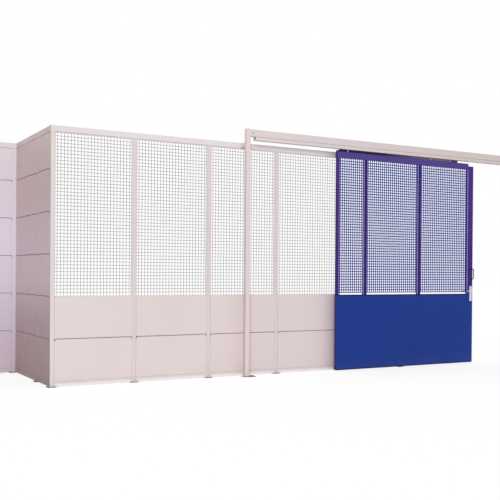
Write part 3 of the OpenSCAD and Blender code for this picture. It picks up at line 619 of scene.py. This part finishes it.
# The bottom rails of the front, side and left walls, each in its wall's paint. A pale strip runs
# along the foot of the front ones.
STRIP_H, STRIP_OUT, STRIP_IN, STRIP_R = 0.026, 0.001, 0.001, 0.0004
RAIL_W = 0.05
BACK_Y = 1.0              # rails along X behind this are the left wall's
boxes = []
for lo, hi in islands("bottom_rails"):
    if min(hi.x - lo.x, hi.y - lo.y) < 1.5 * RAIL_W:
        boxes.append((lo, hi))
    else:
        # A front and a side rail that meet at the corner post's inner edge
        boxes.append((Vector((lo.x + RAIL_W, lo.y, lo.z)), Vector((hi.x, lo.y + RAIL_W, hi.z))))
        boxes.append((Vector((lo.x, lo.y + RAIL_W, lo.z)), Vector((lo.x + RAIL_W, hi.y, hi.z))))
build = Build()
strip = Build()
for lo, hi in boxes:
    axis = "x" if hi.x - lo.x > hi.y - lo.y else "y"
    wall = 1 if axis == "y" else 2 if lo.y > BACK_Y else 0
    tube(build, lo, hi, axis, TUBE_R, WALL_T, wall)
    if wall == 0:
        block(strip, (lo.x + STRIP_IN, lo.y - STRIP_OUT, lo.z),
              (hi.x - STRIP_IN, lo.y, lo.z + STRIP_H), STRIP_R)
build.piece("bottom_rail_tubes", WALL, (CREAM, SIDE, LEFT), ["bottom_rails"])
strip.piece("pale_foot_strips", WALL, FOOT_CREAM, ())


TRAY_T = 0.002
TRAY_GROOVE = 0.005       # how far the folded face stands in front of the tray's flange
TRAY_FACE_GAP = 0.0008    # from the face to the post beside it
TRAY_SEAM = 0.0045        # from the face's top and bottom to the tray's own, at a seam
TRAY_BEND = 0.002
BEND_SHARE = 0.3          # where the bend's middle ring lies
TRAY_RIM = 0.030          # a flat margin inside the face's edge
FLANGE_R, FACE_R, RIM_R, FOLD_R = 0.002, 0.0015, 0.003, 0.001
FLANGE_EDGE = 0.0006
NOTCH_W = {"y": 0.014, "x": 0.032}    # corner relief of a face that has another tray above it
NOTCH_H = 0.036
SEAM_REACH = 0.006        # how near a tray's edge is to a seam's height
CORNER_STEPS = 3


def face_outline(u0, v0, u1, v1, r, notch):
    """A tray's outline, its upper corners cut by a notch of that width for the folds."""
    points = round_rect(u0, v0, u1, v1, r, CORNER_STEPS)
    if not notch:
        return points
    count = CORNER_STEPS + 1
    right = [(u1 - notch * k / CORNER_STEPS, v1 - NOTCH_H * (1 - k / CORNER_STEPS))
             for k in range(count)]
    left = [(u0 + u1 - u, v) for u, v in reversed(right)]
    return points[:count] + right + left + points[3 * count:]


def tray(build, lo, hi, facing, seam_below, seam_above, notched):
    """A folded sheet tray. facing is "y" for a face towards -Y and "x" for one towards -X."""
    if facing == "y":
        u0, u1, w0, w1 = lo.x, hi.x, lo.y, hi.y
        point = lambda u, v, w: (u, w, v)
    else:
        u0, u1, w0, w1 = lo.y, hi.y, lo.x, hi.x
        point = lambda u, v, w: (w, u, v)
    below = TRAY_SEAM if seam_below else TRAY_FACE_GAP
    above = TRAY_SEAM if seam_above else TRAY_FACE_GAP

    def ring(depth, inset, r=FLANGE_R):
        """A ring round the tray's flange."""
        outline = round_rect(u0 + inset, lo.z + inset, u1 - inset, hi.z - inset, r, CORNER_STEPS)
        return [point(u, v, w0 + depth) for u, v in outline]

    def face_ring(depth, inset, r=FACE_R, notch=NOTCH_W[facing] if notched else 0):
        """A ring round the tray's face."""
        du = TRAY_FACE_GAP + inset
        low, high = lo.z + below + inset, hi.z - above - inset
        outline = face_outline(u0 + du, low, u1 - du, high, r, notch)
        return [point(u, v, w0 + depth) for u, v in outline]

    groove, bend, t, full = TRAY_GROOVE, TRAY_BEND, TRAY_T, w1 - w0
    flange = ring(groove + FLANGE_EDGE, 0)
    inside = [face_ring(t, TRAY_RIM, RIM_R, 0), face_ring(t, t, FOLD_R),
              face_ring(groove + t, t, FOLD_R), ring(groove + t, t, FOLD_R), ring(full, t, FOLD_R),
              ring(full, 0), flange]
    seam = [flange, ring(groove, FLANGE_EDGE), face_ring(groove, 0), face_ring(bend, 0)]
    face = [face_ring(bend, 0), face_ring(bend * BEND_SHARE, bend * BEND_SHARE), face_ring(0, bend),
            face_ring(0, TRAY_RIM, RIM_R, 0)]
    build.rings(inside, cap_start=True)
    build.rings(seam, kind=1)
    build.rings(face, cap_end=True)


def trays(name, node, materials, feet, rail_z=None):
    """The trays of a node. Seams show at the feet of the trays above and under the top rail.

    The faces below a tray are notched for it. rail_z is the top rail's underside.
    """
    build = Build()
    near = lambda z, places: any(abs(z - place) < SEAM_REACH for place in places)
    for lo, hi in islands(node):
        facing = "y" if hi.x - lo.x > hi.y - lo.y else "x"
        seams = feet + ([rail_z] if rail_z else [])
        tray(build, lo, hi, facing, near(lo.z, feet), near(hi.z, seams), near(hi.z, feet))
    build.piece(name, WALL, materials, [node])


front_feet = [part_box("front_upper_trays")[0].z]
column_feet = sorted({round(lo.z, 4) for lo, hi in islands("left_trays")})[1:]
rail_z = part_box("left_top_rail")[0].z
trays("front_lower_tray_sheets", "front_lower_trays", (CREAM, SEAM), front_feet)
trays("front_upper_tray_sheets", "front_upper_trays", (CREAM, SEAM), front_feet)
trays("left_tray_sheets", "left_trays", (LEFT, LEFT_SEAM), column_feet, rail_z)
trays("side_tray_sheets", "side_trays", (SIDE, SIDE_SEAM), column_feet, rail_z)


FRAME_R = 0.001
build = Build()
for lo, hi in islands("mesh_frames"):
    block(build, lo, hi, FRAME_R)
build.piece("mesh_frame_bars", WALL, FOOT_CREAM, ["mesh_frames"])

WIRE_SIDES = 8
WIRE_GROWTH = 1.03        # makes an octagon look as thick as its round wire
NET_ANGLE = 60            # smooths the octagons' edges and leaves the ends sharp


def net(name, node, body, material):
    """The crossing wires or bars of a node."""
    build = Build()
    for lo, hi in islands(node):
        size = hi - lo
        along = max(range(3), key=lambda i: size[i])
        r = min(size[i] for i in range(3) if i != along) / 2
        axis = "xyz"[along]
        u, v, _ = cross(axis, (lo + hi) / 2)
        angles = [2 * math.pi * (k + 0.5) / WIRE_SIDES for k in range(WIRE_SIDES)]
        outline = [(u + r * math.cos(a) * WIRE_GROWTH, v + r * math.sin(a) * WIRE_GROWTH)
                   for a in angles]
        profile(build, outline, axis, lo[along], hi[along])
    build.piece(name, body, material, [node], angle=NET_ANGLE)


for k in range(1, 5):
    net(f"wall_net_{k}", f"wire_mesh_{k}", WALL, WIRE)


# -------- tall posts, header and track


TALL_R = 0.005            # corner radius of a tall post


def tall_post(name, node):
    """A tall post on its long base plate. Its third material is for its left side."""
    build = Build()
    lo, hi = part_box(node)
    holes = [(x, y) for x in (lo.x + TALL_HOLE_X, hi.x - TALL_HOLE_X)
             for y in (lo.y + TALL_HOLE_Y, hi.y - TALL_HOLE_Y)]
    holed_plate(build, lo, (hi.x, hi.y, PLATE_T), holes, ANCHOR_R)
    mid = (lo.y + hi.y) / 2
    a = (lo.x + TALL_BACK, mid - TALL_W / 2, PLATE_T)
    b = (lo.x + TALL_BACK + TALL_W, mid + TALL_W / 2, hi.z)
    tube(build, a, b, "z", TALL_R, DOOR_T)
    weld_bead(build, a, b, PLATE_T)
    return build.piece(name, WALL, (CREAM, PLATE, TALL_SIDE), [node])


for name, node in (("left_tall_tube", "left_track_post"), ("right_tall_tube", "right_track_post")):
    paint_left_side(tall_post(name, node), 2)

HEADER_R = 0.006          # corner radius of the header and the track
build = Build()
head_lo, head_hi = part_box("header_beam")
tube(build, head_lo, head_hi, "x", HEADER_R, DOOR_T)
header = build.piece("header_tube", WALL, (BEAM, SEAM), ["header_beam"])

# The track's outline runs round its outside from the slot and back round its inside
TRACK_SLOT = 0.016
track_lo, track_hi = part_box("door_track")
mid_y = (track_lo.y + track_hi.y) / 2
slot_0, slot_1 = mid_y - TRACK_SLOT / 2, mid_y + TRACK_SLOT / 2
y0, y1 = track_lo.y + HEADER_R, track_hi.y - HEADER_R
z0, z1 = track_lo.z + HEADER_R, track_hi.z - HEADER_R
turns = ((y1, z0, -90), (y1, z1, 0), (y0, z1, 90), (y0, z0, 180))
build = Build()
outline = [(slot_1, track_lo.z)]
for y, z, start in turns:
    outline += arc(y, z, HEADER_R, start, start + 90)
outline += [(slot_0, track_lo.z), (slot_0, track_lo.z + DOOR_T)]
for y, z, start in reversed(turns):
    outline += arc(y, z, HEADER_R - DOOR_T, start + 90, start)
outline += [(slot_1, track_lo.z + DOOR_T)]
profile(build, outline, "x", track_lo.x, track_hi.x)
track = build.piece("track_profile", WALL, (BEAM, SEAM), ["door_track"])

# The rounded edges between the header and the track take the seam colour: painted shade in the
# joint
JOINT_HALF, FLAT = 0.0012, 0.99
for poly in (*header.data.polygons, *track.data.polygons):
    if abs(poly.center.z - head_lo.z) < JOINT_HALF and abs(poly.normal.z) < FLAT:
        poly.material_index = 1

WASHER = ((0.0125, 0), (0.0125, 0.0016), (0.0119, 0.002), (0.006, 0.002))
HEADER_HEX = (0.0173, 0.005)          # a hexagon's width across its flats and its height
build = Build()
for lo, hi in islands("header_bolts"):
    mid = (lo + hi) / 2
    face_bolt(build, mid.x, head_lo.y, mid.z, WASHER, HEADER_HEX)
build.piece("header_hex_bolts", WALL, ZINC, ["header_bolts"])

STOP_R = 0.003
build = Build()
for lo, hi in islands("track_stops"):
    block(build, lo, hi, STOP_R, 3)
build.piece("rubber_stops", WALL, RUBBER, ["track_stops"])

build = Build()
lo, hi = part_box("closing_channel")
t, r = DOOR_T, TUBE_R
outline = [(lo.x, lo.y), (lo.x, lo.y + t)]
outline += arc(hi.x - r, lo.y + r, r - t, -90, 0, 3)
outline += arc(hi.x - r, hi.y - r, r - t, 0, 90, 3)
outline += [(lo.x, hi.y - t), (lo.x, hi.y)]
outline += arc(hi.x - r, hi.y - r, r, 90, 0, 3)
outline += arc(hi.x - r, lo.y + r, r, 0, -90, 3)
profile(build, outline, "z", lo.z, hi.z)
build.piece("closing_profile", WALL, CREAM, ["closing_channel"])

# The CAD nodes that are shown as they are
DRESSED = (("tube_caps", CREAM), ("wall_bracket", TALL_SIDE), ("header_brackets", ZINC),
           ("track_bolts", ZINC), ("strike_box", SILVER), ("floor_guide", ZINC),
           ("guide_roller", NYLON), ("trolleys", ZINC), ("wheel_axles", SILVER),
           ("lever_spindle", ZINC), ("key_cylinder", SILVER), ("key_plug", BRASS),
           ("hook_bolt", ZINC), ("lock_case", SILVER), ("door_lock_stile", NAVY))
for node, material in DRESSED:
    dress(node, material)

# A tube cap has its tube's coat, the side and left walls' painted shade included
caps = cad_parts["tube_caps"]
low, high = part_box("side_top_rail")
for material in (SIDE, LEFT, RAIL_CREAM):
    caps.data.materials.append(material)
for poly in caps.data.polygons:
    spot = caps.matrix_world @ poly.center
    if spot.z < high.z + JOINT_HALF:
        poly.material_index = 2 if spot.y > high.y else 1 if spot.x < high.x else 3


# -------- the door


def door_tube(name, node, axis, material=NAVY):
    """The tubes of a door node."""
    build = Build()
    for lo, hi in islands(node):
        tube(build, lo, hi, axis, TUBE_R, DOOR_T)
    build.piece(name, DOOR, material, [node])


door_tube("left_stile_tube", "door_left_stile", "z")
door_tube("top_rail_tube", "door_top_rail", "x", NAVY_RAIL)
door_tube("mullion_tubes", "door_mullions", "z", NAVY_DEEP)
door_tube("mid_rail_tubes", "door_mid_rails", "x")

LEG_T, FOOT_R = 0.004, 0.0045         # the foot rail's legs, open below, and its upper corners
lo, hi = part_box("door_bottom_rail")
build = Build()
t, r = DOOR_T, FOOT_R
outline = [(lo.y, lo.z), (lo.y + LEG_T, lo.z)]
outline += [(lo.y + LEG_T, hi.z - t), (hi.y - LEG_T, hi.z - t), (hi.y - LEG_T, lo.z), (hi.y, lo.z)]
outline += arc(hi.y - r, hi.z - r, r, 0, 90, 3)
outline += arc(lo.y + r, hi.z - r, r, 90, 180, 3)
profile(build, outline, "x", lo.x, hi.x)
build.piece("foot_rail_profile", DOOR, NAVY, ["door_bottom_rail"])

for k in range(1, 4):
    net(f"door_net_{k}", f"door_mesh_{k}", DOOR, MESH_BLUE)


def spaced(start, end, pitch):
    """Evenly spaced places from start to end, at most a pitch apart."""
    count = max(1, math.ceil((end - start) / pitch))
    return [start + (end - start) * k / count for k in range(count + 1)]


# Strips beside the meshes, in pairs whose screws look into the mesh between them. Their pale lilac
# is a painted highlight of the lit edges beside the mullions.
CLAMP_R, HEAD_SIDES = 0.0005, 10
SCREW_R, SCREW_H, SCREW_END, SCREW_PITCH = 0.003, 0.0012, 0.06, 0.3
build = Build()
screws = Build()
for k, (lo, hi) in enumerate(islands("mesh_clamp_strips")):
    block(build, lo, hi, CLAMP_R)
    face_x, out = (hi.x, 1) if k % 2 == 0 else (lo.x, -1)
    for z in spaced(lo.z + SCREW_END, hi.z - SCREW_END, SCREW_PITCH):
        dome(screws, (face_x, (lo.y + hi.y) / 2, z), (out, 0, 0), SCREW_R, SCREW_H, HEAD_SIDES)
build.piece("clamp_strip_bars", DOOR, LILAC, ["mesh_clamp_strips"])
screws.piece("clamp_strip_screws", DOOR, ZINC, ())

NOTCH_GAP = 0.004         # from the lock plate to the sheet's notch for it
SHEET_EDGE = 0.0008
sheet_lo, sheet_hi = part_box("door_sheet")
plate_lo, plate_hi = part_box("lock_plates")
notch_x, notch_end, notch_z = plate_lo.x - NOTCH_GAP, plate_hi.x + NOTCH_GAP, plate_lo.z - NOTCH_GAP
build = Build()
outline = [(sheet_lo.x, sheet_lo.z), (sheet_hi.x, sheet_lo.z), (sheet_hi.x, sheet_hi.z),
           (notch_end, sheet_hi.z), (notch_end, notch_z), (notch_x, notch_z), (notch_x, sheet_hi.z),
           (sheet_lo.x, sheet_hi.z)]
bm = bmesh.new()
face = bm.faces.new([bm.verts.new((x, sheet_hi.y, z)) for x, z in outline])
out = bmesh.ops.extrude_face_region(bm, geom=[face])
for v in out["geom"]:
    if isinstance(v, bmesh.types.BMVert):
        v.co.y = sheet_lo.y
bmesh.ops.recalc_face_normals(bm, faces=bm.faces)
front = [e for e in bm.edges if all(abs(v.co.y - sheet_lo.y) < WELD for v in e.verts)]
bmesh.ops.bevel(bm, geom=front, offset=SHEET_EDGE, segments=2, affect="EDGES", profile=0.5)
build.take(bm)
build.piece("blue_sheet_panel", DOOR, SHEET, ["door_sheet"])

# Dark edge trims along the sheet's foot and, up to the lock, its top, whose near-black is partly
# painted shade along these edges
TRIM_H, TRIM_OUT, TRIM_R = 0.012, 0.0012, 0.0004
TRIM_START, TRIM_END, TRIM_LAP = 0.001, 0.010, 0.0005
trim_x, trim_y = sheet_lo.x + TRIM_START, sheet_lo.y - TRIM_OUT
build = Build()
block(build, (trim_x, trim_y, sheet_lo.z + TRIM_LAP),
      (sheet_hi.x - TRIM_END, sheet_lo.y, sheet_lo.z + TRIM_H), TRIM_R)
block(build, (trim_x, trim_y, sheet_hi.z - TRIM_H),
      (notch_x, sheet_lo.y, sheet_hi.z - TRIM_LAP), TRIM_R)
build.piece("sheet_edge_trims", DOOR, TRIM, ())

# Painted rivets round the sheet and along the mullions behind it
RIVET_R, RIVET_H, RIVET_PITCH, RIVET_EDGE = 0.004, 0.0011, 0.21, 0.015
low, high = sheet_lo.z + TRIM_H + RIVET_EDGE, sheet_hi.z - TRIM_H - RIVET_EDGE
columns = [sheet_lo.x + RIVET_EDGE] + [(lo.x + hi.x) / 2 for lo, hi in islands("door_mullions")]
rivets = [(x, z) for x in columns for z in spaced(low, high, RIVET_PITCH)]
rivets += [(sheet_hi.x - RIVET_EDGE, z) for z in spaced(low, notch_z - RIVET_EDGE, RIVET_PITCH)]
rivets += [(x, z) for z in (low, high)
           for x in spaced(columns[0], notch_x - RIVET_EDGE, RIVET_PITCH)[1:]]
build = Build()
for x, z in rivets:
    dome(build, (x, sheet_lo.y, z), (0, -1, 0), RIVET_R, RIVET_H, HEAD_SIDES)
build.piece("sheet_rivets", DOOR, SHEET, ())

# The hanger bar's coat carries painted shade and, towards its right end, painted light.
HANGER_R = 0.003
lo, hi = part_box("hanger_bar")
build = Build()
tube(build, lo, hi, "x", HANGER_R, DOOR_T)
build.piece("hanger_tube", DOOR, HANGER, ["hanger_bar"])

HANGER_BOLTS = (0.17, 1.66, 2.03)     # from the door's left edge
SMALL_WASHER = ((0.011, 0), (0.011, 0.0014), (0.0104, 0.0018), (0.005, 0.0018))
HANGER_HEX = (0.013, 0.004)
door_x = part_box("door_left_stile")[0].x
mid_z = (lo.z + hi.z) / 2
build = Build()
for x in HANGER_BOLTS:
    face_bolt(build, door_x + x, lo.y, mid_z, SMALL_WASHER, HANGER_HEX)
build.piece("hanger_hex_bolts", DOOR, ZINC, ())

# A buffer on the top rail's left end
BUFFER_START, BUFFER_L, BUFFER_H, BUFFER_IN, BUFFER_R = 0.002, 0.048, 0.018, 0.004, 0.003
rail_lo, rail_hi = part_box("door_top_rail")
build = Build()
block(build, (door_x + BUFFER_START, rail_lo.y + BUFFER_IN, rail_hi.z),
      (door_x + BUFFER_L, rail_hi.y - BUFFER_IN, rail_hi.z + BUFFER_H), BUFFER_R, 3)
build.piece("door_end_buffer", DOOR, BUFFER, ())

PENDANT_R, THREAD, THREAD_DEPTH, CREST = 0.006, 0.00175, 0.0009, 0.35
NECK_DEPTH, NECK_L, PENDANT_HEX = 0.001, 0.0072, (0.0172, 0.007)
PENDANT_WASHER = ((0.0065, 0), (0.0099, 0), (0.0099, 0.0017), (0.0095, 0.002), (0.0065, 0.002))
bar_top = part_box("hanger_bar")[1].z
build = Build()
for lo, hi in islands("pendant_bolts"):
    mid = (lo + hi) / 2
    z = lo.z + NECK_L
    outline = [(PENDANT_R - NECK_DEPTH, lo.z), (PENDANT_R - NECK_DEPTH, z)]
    while z < hi.z - THREAD:
        outline += [(PENDANT_R, z + THREAD * CREST), (PENDANT_R - THREAD_DEPTH, z + THREAD)]
        z += THREAD
    outline += [(PENDANT_R - THREAD_DEPTH, hi.z)]
    lathe(build, (mid.x, mid.y, 0), (0, 0, 1), outline, seg=20)
    hex_head(build, (mid.x, mid.y, lo.z), (0, 0, 1), *PENDANT_HEX)
    lathe(build, (mid.x, mid.y, bar_top), (0, 0, 1), PENDANT_WASHER)
build.piece("threaded_pendants", DOOR, ZINC, ["pendant_bolts"])

# Bore, hub, recess and rounded tread
WHEEL = ((0.0041, 0.0), (0.0085, 0.0), (0.009, 0.0006), (0.0118, 0.0006), (0.0128, 0.0),
         (0.0136, 0.0003), (0.014, 0.0012), (0.014, 0.0088), (0.0136, 0.0097), (0.0128, 0.01),
         (0.0118, 0.0094), (0.009, 0.0094), (0.0085, 0.01), (0.0041, 0.01), (0.0041, 0.0))
for k in range(1, 5):
    build = Build()
    for lo, hi in islands(f"trolley_wheels_{k}"):
        mid = (lo + hi) / 2
        lathe(build, (mid.x, lo.y, mid.z), (0, 1, 0), WHEEL, seg=32)
    build.piece(f"moulded_wheels_{k}", f"wheels_{k}", NYLON, [f"trolley_wheels_{k}"])


# -------- handles and lock

# The door's two faces, as the direction out of each and its place
FACES = ((-1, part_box("door_top_rail")[0].y), (1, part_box("door_top_rail")[1].y))
BEND_STEPS = [math.radians(a) for a in range(0, 91, 15)]


def face_of(lo):
    """The face that a piece with this lowest corner stands on."""
    return FACES[0] if lo.y < FACES[0][1] else FACES[1]


BOW_R, BOW_BEND, BOW_OUT, BOW_FOOT = 0.00695, 0.016, 0.045, 0.010
BOW_FLANGE = ((0.01, 0), (0.01, 0.0025), (0.009, 0.004), (0.0072, 0.004), (0.0068, 0.0055))
build = Build()
for lo, hi in islands("bow_handles"):
    out, face_y = face_of(lo)
    x = (lo.x + hi.x) / 2
    feet = (lo.z + BOW_FOOT, hi.z - BOW_FOOT)
    bend_y = face_y + out * BOW_OUT - out * BOW_BEND
    bend = [(bend_y + out * BOW_BEND * math.sin(a), BOW_BEND - BOW_BEND * math.cos(a))
            for a in BEND_STEPS]
    path = [(x, face_y, feet[0])] + [(x, y, feet[0] + up) for y, up in bend]
    path += [(x, y, feet[1] - up) for y, up in reversed(bend)] + [(x, face_y, feet[1])]
    sweep(build, path, [(BOW_R, BOW_R)] * len(path), 18, (1, 0, 0))
    for z in feet:
        lathe(build, (x, face_y, z), (0, out, 0), BOW_FLANGE)
build.piece("black_bow_handles", DOOR, BLACK, ["bow_handles"])

spindle_lo, spindle_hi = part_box("lever_spindle")
LEVER_X, LEVER_Z = (spindle_lo.x + spindle_hi.x) / 2, 1.076
PLATE_OUT, PLATE_EDGE, PLATE_BACK, PLATE_R = 0.003, 0.0009, 0.0004, 0.006
PLATE_SCREW, SCREW_IN = (0.0045, 0.0015), 0.014       # a screw head's radius and height
LEVER_ROSE = ((0.0125, 0), (0.0125, 0.0016), (0.0115, 0.0024), (0.0092, 0.0024))
build = Build()
for lo, hi in islands("lock_plates"):
    out, face_y = face_of(lo)
    front_y = face_y + out * PLATE_OUT
    rings = []
    for inset, y in ((PLATE_BACK, face_y), (0, face_y + out * PLATE_BACK),
                     (0, front_y - out * PLATE_EDGE),
                     (PLATE_EDGE * 0.4, front_y - out * PLATE_EDGE * 0.35), (PLATE_EDGE, front_y)):
        plate = round_rect(lo.x + inset, lo.z + inset, hi.x - inset, hi.z - inset, PLATE_R, 4)
        rings.append([(u, y, v) for u, v in plate])
    build.rings(rings, cap_start=True, cap_end=True)
    for z in (lo.z + SCREW_IN, hi.z - SCREW_IN):
        dome(build, ((lo.x + hi.x) / 2, front_y, z), (0, out, 0), *PLATE_SCREW)
    lathe(build, (LEVER_X, front_y, LEVER_Z), (0, out, 0), LEVER_ROSE)
build.piece("lock_back_plates", DOOR, SILVER, ["lock_plates"])

# Each lever is a round neck that bends and flattens to an oval grip with a rounded end
LEVER_L, LEVER_OUT, LEVER_BEND = 0.100, 0.045, 0.014
NECK_R, GRIP_HALF, GRIP_TAPER = 0.009, 0.006, 0.001
NECK_START, NECK_END = 0.0005, 0.016
GRIP_STEPS = (0.3, 0.5, 0.7, 0.85, 0.93, 0.97, 0.99, 1.0)
ROUND_START, ROUND_L, ROUND_SHARE, TIP = 0.88, 0.12, 0.98, 0.25      # how the grip's end is rounded
build = Build()
for out, face_y in FACES:
    grip_y = face_y + out * (LEVER_OUT - GRIP_HALF)
    bend_y = grip_y - out * LEVER_BEND
    path = [(LEVER_X, face_y + out * step, LEVER_Z) for step in (NECK_START, NECK_END)]
    radii = [(NECK_R, NECK_R)] * 2
    for a in BEND_STEPS:
        path.append((LEVER_X - LEVER_BEND + LEVER_BEND * math.cos(a),
                     bend_y + out * LEVER_BEND * math.sin(a), LEVER_Z))
        radii.append((NECK_R - (NECK_R - GRIP_HALF) * a / BEND_STEPS[-1], NECK_R))
    for f in GRIP_STEPS:
        end = 1.0
        if f > ROUND_START:
            sunk = (f - ROUND_START) / ROUND_L
            end = max(math.sqrt(max(0.0, 1 - sunk ** 2)) * ROUND_SHARE + 1 - ROUND_SHARE, TIP)
        path.append((LEVER_X - LEVER_BEND - (LEVER_L - LEVER_BEND) * f, grip_y, LEVER_Z))
        radii.append((GRIP_HALF * end, (NECK_R - GRIP_TAPER * f) * end))
    sweep(build, path, radii, 20, (0, 0, 1))
build.piece("curved_levers", "lever", SILVER, ["lever_handles"])


# -------- floor, light and camera

# The camera sees a pale floor with a glow of its own, and light bounces from a plain white one
floor_mat = bpy.data.materials.new("studio_floor")
floor_mat.use_nodes = True
tree = floor_mat.node_tree
FLOOR_SEEN, FLOOR_GLOW, FLOOR_BOUNCE = 0.36, 0.74, 0.9
shader = tree.nodes["Principled BSDF"]
shader.inputs["Base Color"].default_value = (FLOOR_BOUNCE, FLOOR_BOUNCE, FLOOR_BOUNCE, 1)
shader.inputs["Roughness"].default_value = 0.9
shader.inputs["Specular IOR Level"].default_value = 0.1
matt = add_node(tree, "ShaderNodeBsdfDiffuse", Color=(FLOOR_SEEN, FLOOR_SEEN, FLOOR_SEEN, 1))
glow = add_node(tree, "ShaderNodeEmission", Strength=FLOOR_GLOW)
add = tree.nodes.new("ShaderNodeAddShader")
pick = tree.nodes.new("ShaderNodeMixShader")
light_path = tree.nodes.new("ShaderNodeLightPath")
tree.links.new(matt.outputs[0], add.inputs[0])
tree.links.new(glow.outputs[0], add.inputs[1])
tree.links.new(light_path.outputs["Is Camera Ray"], pick.inputs["Fac"])
tree.links.new(shader.outputs[0], pick.inputs[1])
tree.links.new(add.outputs[0], pick.inputs[2])
tree.links.new(pick.outputs[0], tree.nodes["Material Output"].inputs["Surface"])

FLOOR_HALF = 60.0
corners = footprint((-FLOOR_HALF, -FLOOR_HALF), (FLOOR_HALF, FLOOR_HALF))
mesh = bpy.data.meshes.new("studio_floor")
mesh.from_pydata([(*p, 0) for p in corners], [], [(0, 1, 2, 3)])
mesh.materials.append(floor_mat)
floor = bpy.data.objects.new("studio_floor", mesh)
bpy.context.scene.collection.objects.link(floor)

# A white surround to camera, mirror and through-going rays, and a dimmer one to light the part
world = bpy.data.worlds.new("studio")
bpy.context.scene.world = world
world.use_nodes = True
tree = world.node_tree
background = tree.nodes["Background"]
background.inputs["Color"].default_value = (1, 1, 1, 1)
light_path = tree.nodes.new("ShaderNodeLightPath")
AMBIENT = 0.62
seen = light_path.outputs["Is Camera Ray"]
for ray in ("Is Transmission Ray", "Is Glossy Ray"):
    either = tree.nodes.new("ShaderNodeMath")
    either.operation = "MAXIMUM"
    tree.links.new(seen, either.inputs[0])
    tree.links.new(light_path.outputs[ray], either.inputs[1])
    seen = either.outputs[0]
strength = add_node(tree, "ShaderNodeMapRange", Value=seen, To_Min=AMBIENT, To_Max=1.0)
tree.links.new(strength.outputs["Result"], background.inputs["Strength"])

SUN_STRENGTH, SUN_ANGLE, SUN_DIRECTION = 1.3, 22, (0.5, 0.8, -0.28)
sun = bpy.data.lights.new("key", "SUN")
sun.energy = SUN_STRENGTH
sun.angle = math.radians(SUN_ANGLE)
lamp = bpy.data.objects.new("key", sun)
bpy.context.scene.collection.objects.link(lamp)
lamp.rotation_euler = Vector(SUN_DIRECTION).to_track_quat("-Z", "Y").to_euler()

# The camera that a least squares fit of the photograph's straight edges gives
CAM_AT = Vector((-2.6564, -9.3217, 1.3231))
YAW, PITCH, ROLL = math.radians(29.596), math.radians(-0.398), math.radians(0.416)
FOCAL_PX, CENTRE_X, CENTRE_Y, FRAME_PX = 825.05, 251.13, 278.9, 500.0
ahead = math.cos(PITCH)
forward = Vector((math.sin(YAW) * ahead, math.cos(YAW) * ahead, math.sin(PITCH)))
flat_right = Vector((math.cos(YAW), -math.sin(YAW), 0))
upright = flat_right.cross(forward)
right = flat_right * math.cos(ROLL) + upright * math.sin(ROLL)
up = -flat_right * math.sin(ROLL) + upright * math.cos(ROLL)
cam_data = bpy.data.cameras.new("camera")
cam_data.sensor_width = 36.0
cam_data.lens = FOCAL_PX * cam_data.sensor_width / FRAME_PX
cam_data.shift_x = (FRAME_PX / 2 - CENTRE_X) / FRAME_PX
cam_data.shift_y = (CENTRE_Y - FRAME_PX / 2) / FRAME_PX
cam_data.clip_end = 500.0
camera = bpy.data.objects.new("camera", cam_data)
bpy.context.scene.collection.objects.link(camera)
turned = Matrix((right, up, -forward)).transposed()
camera.matrix_world = Matrix.Translation(CAM_AT) @ turned.to_4x4()
bpy.context.scene.camera = camera
bpy.context.scene.view_settings.view_transform = "Standard"
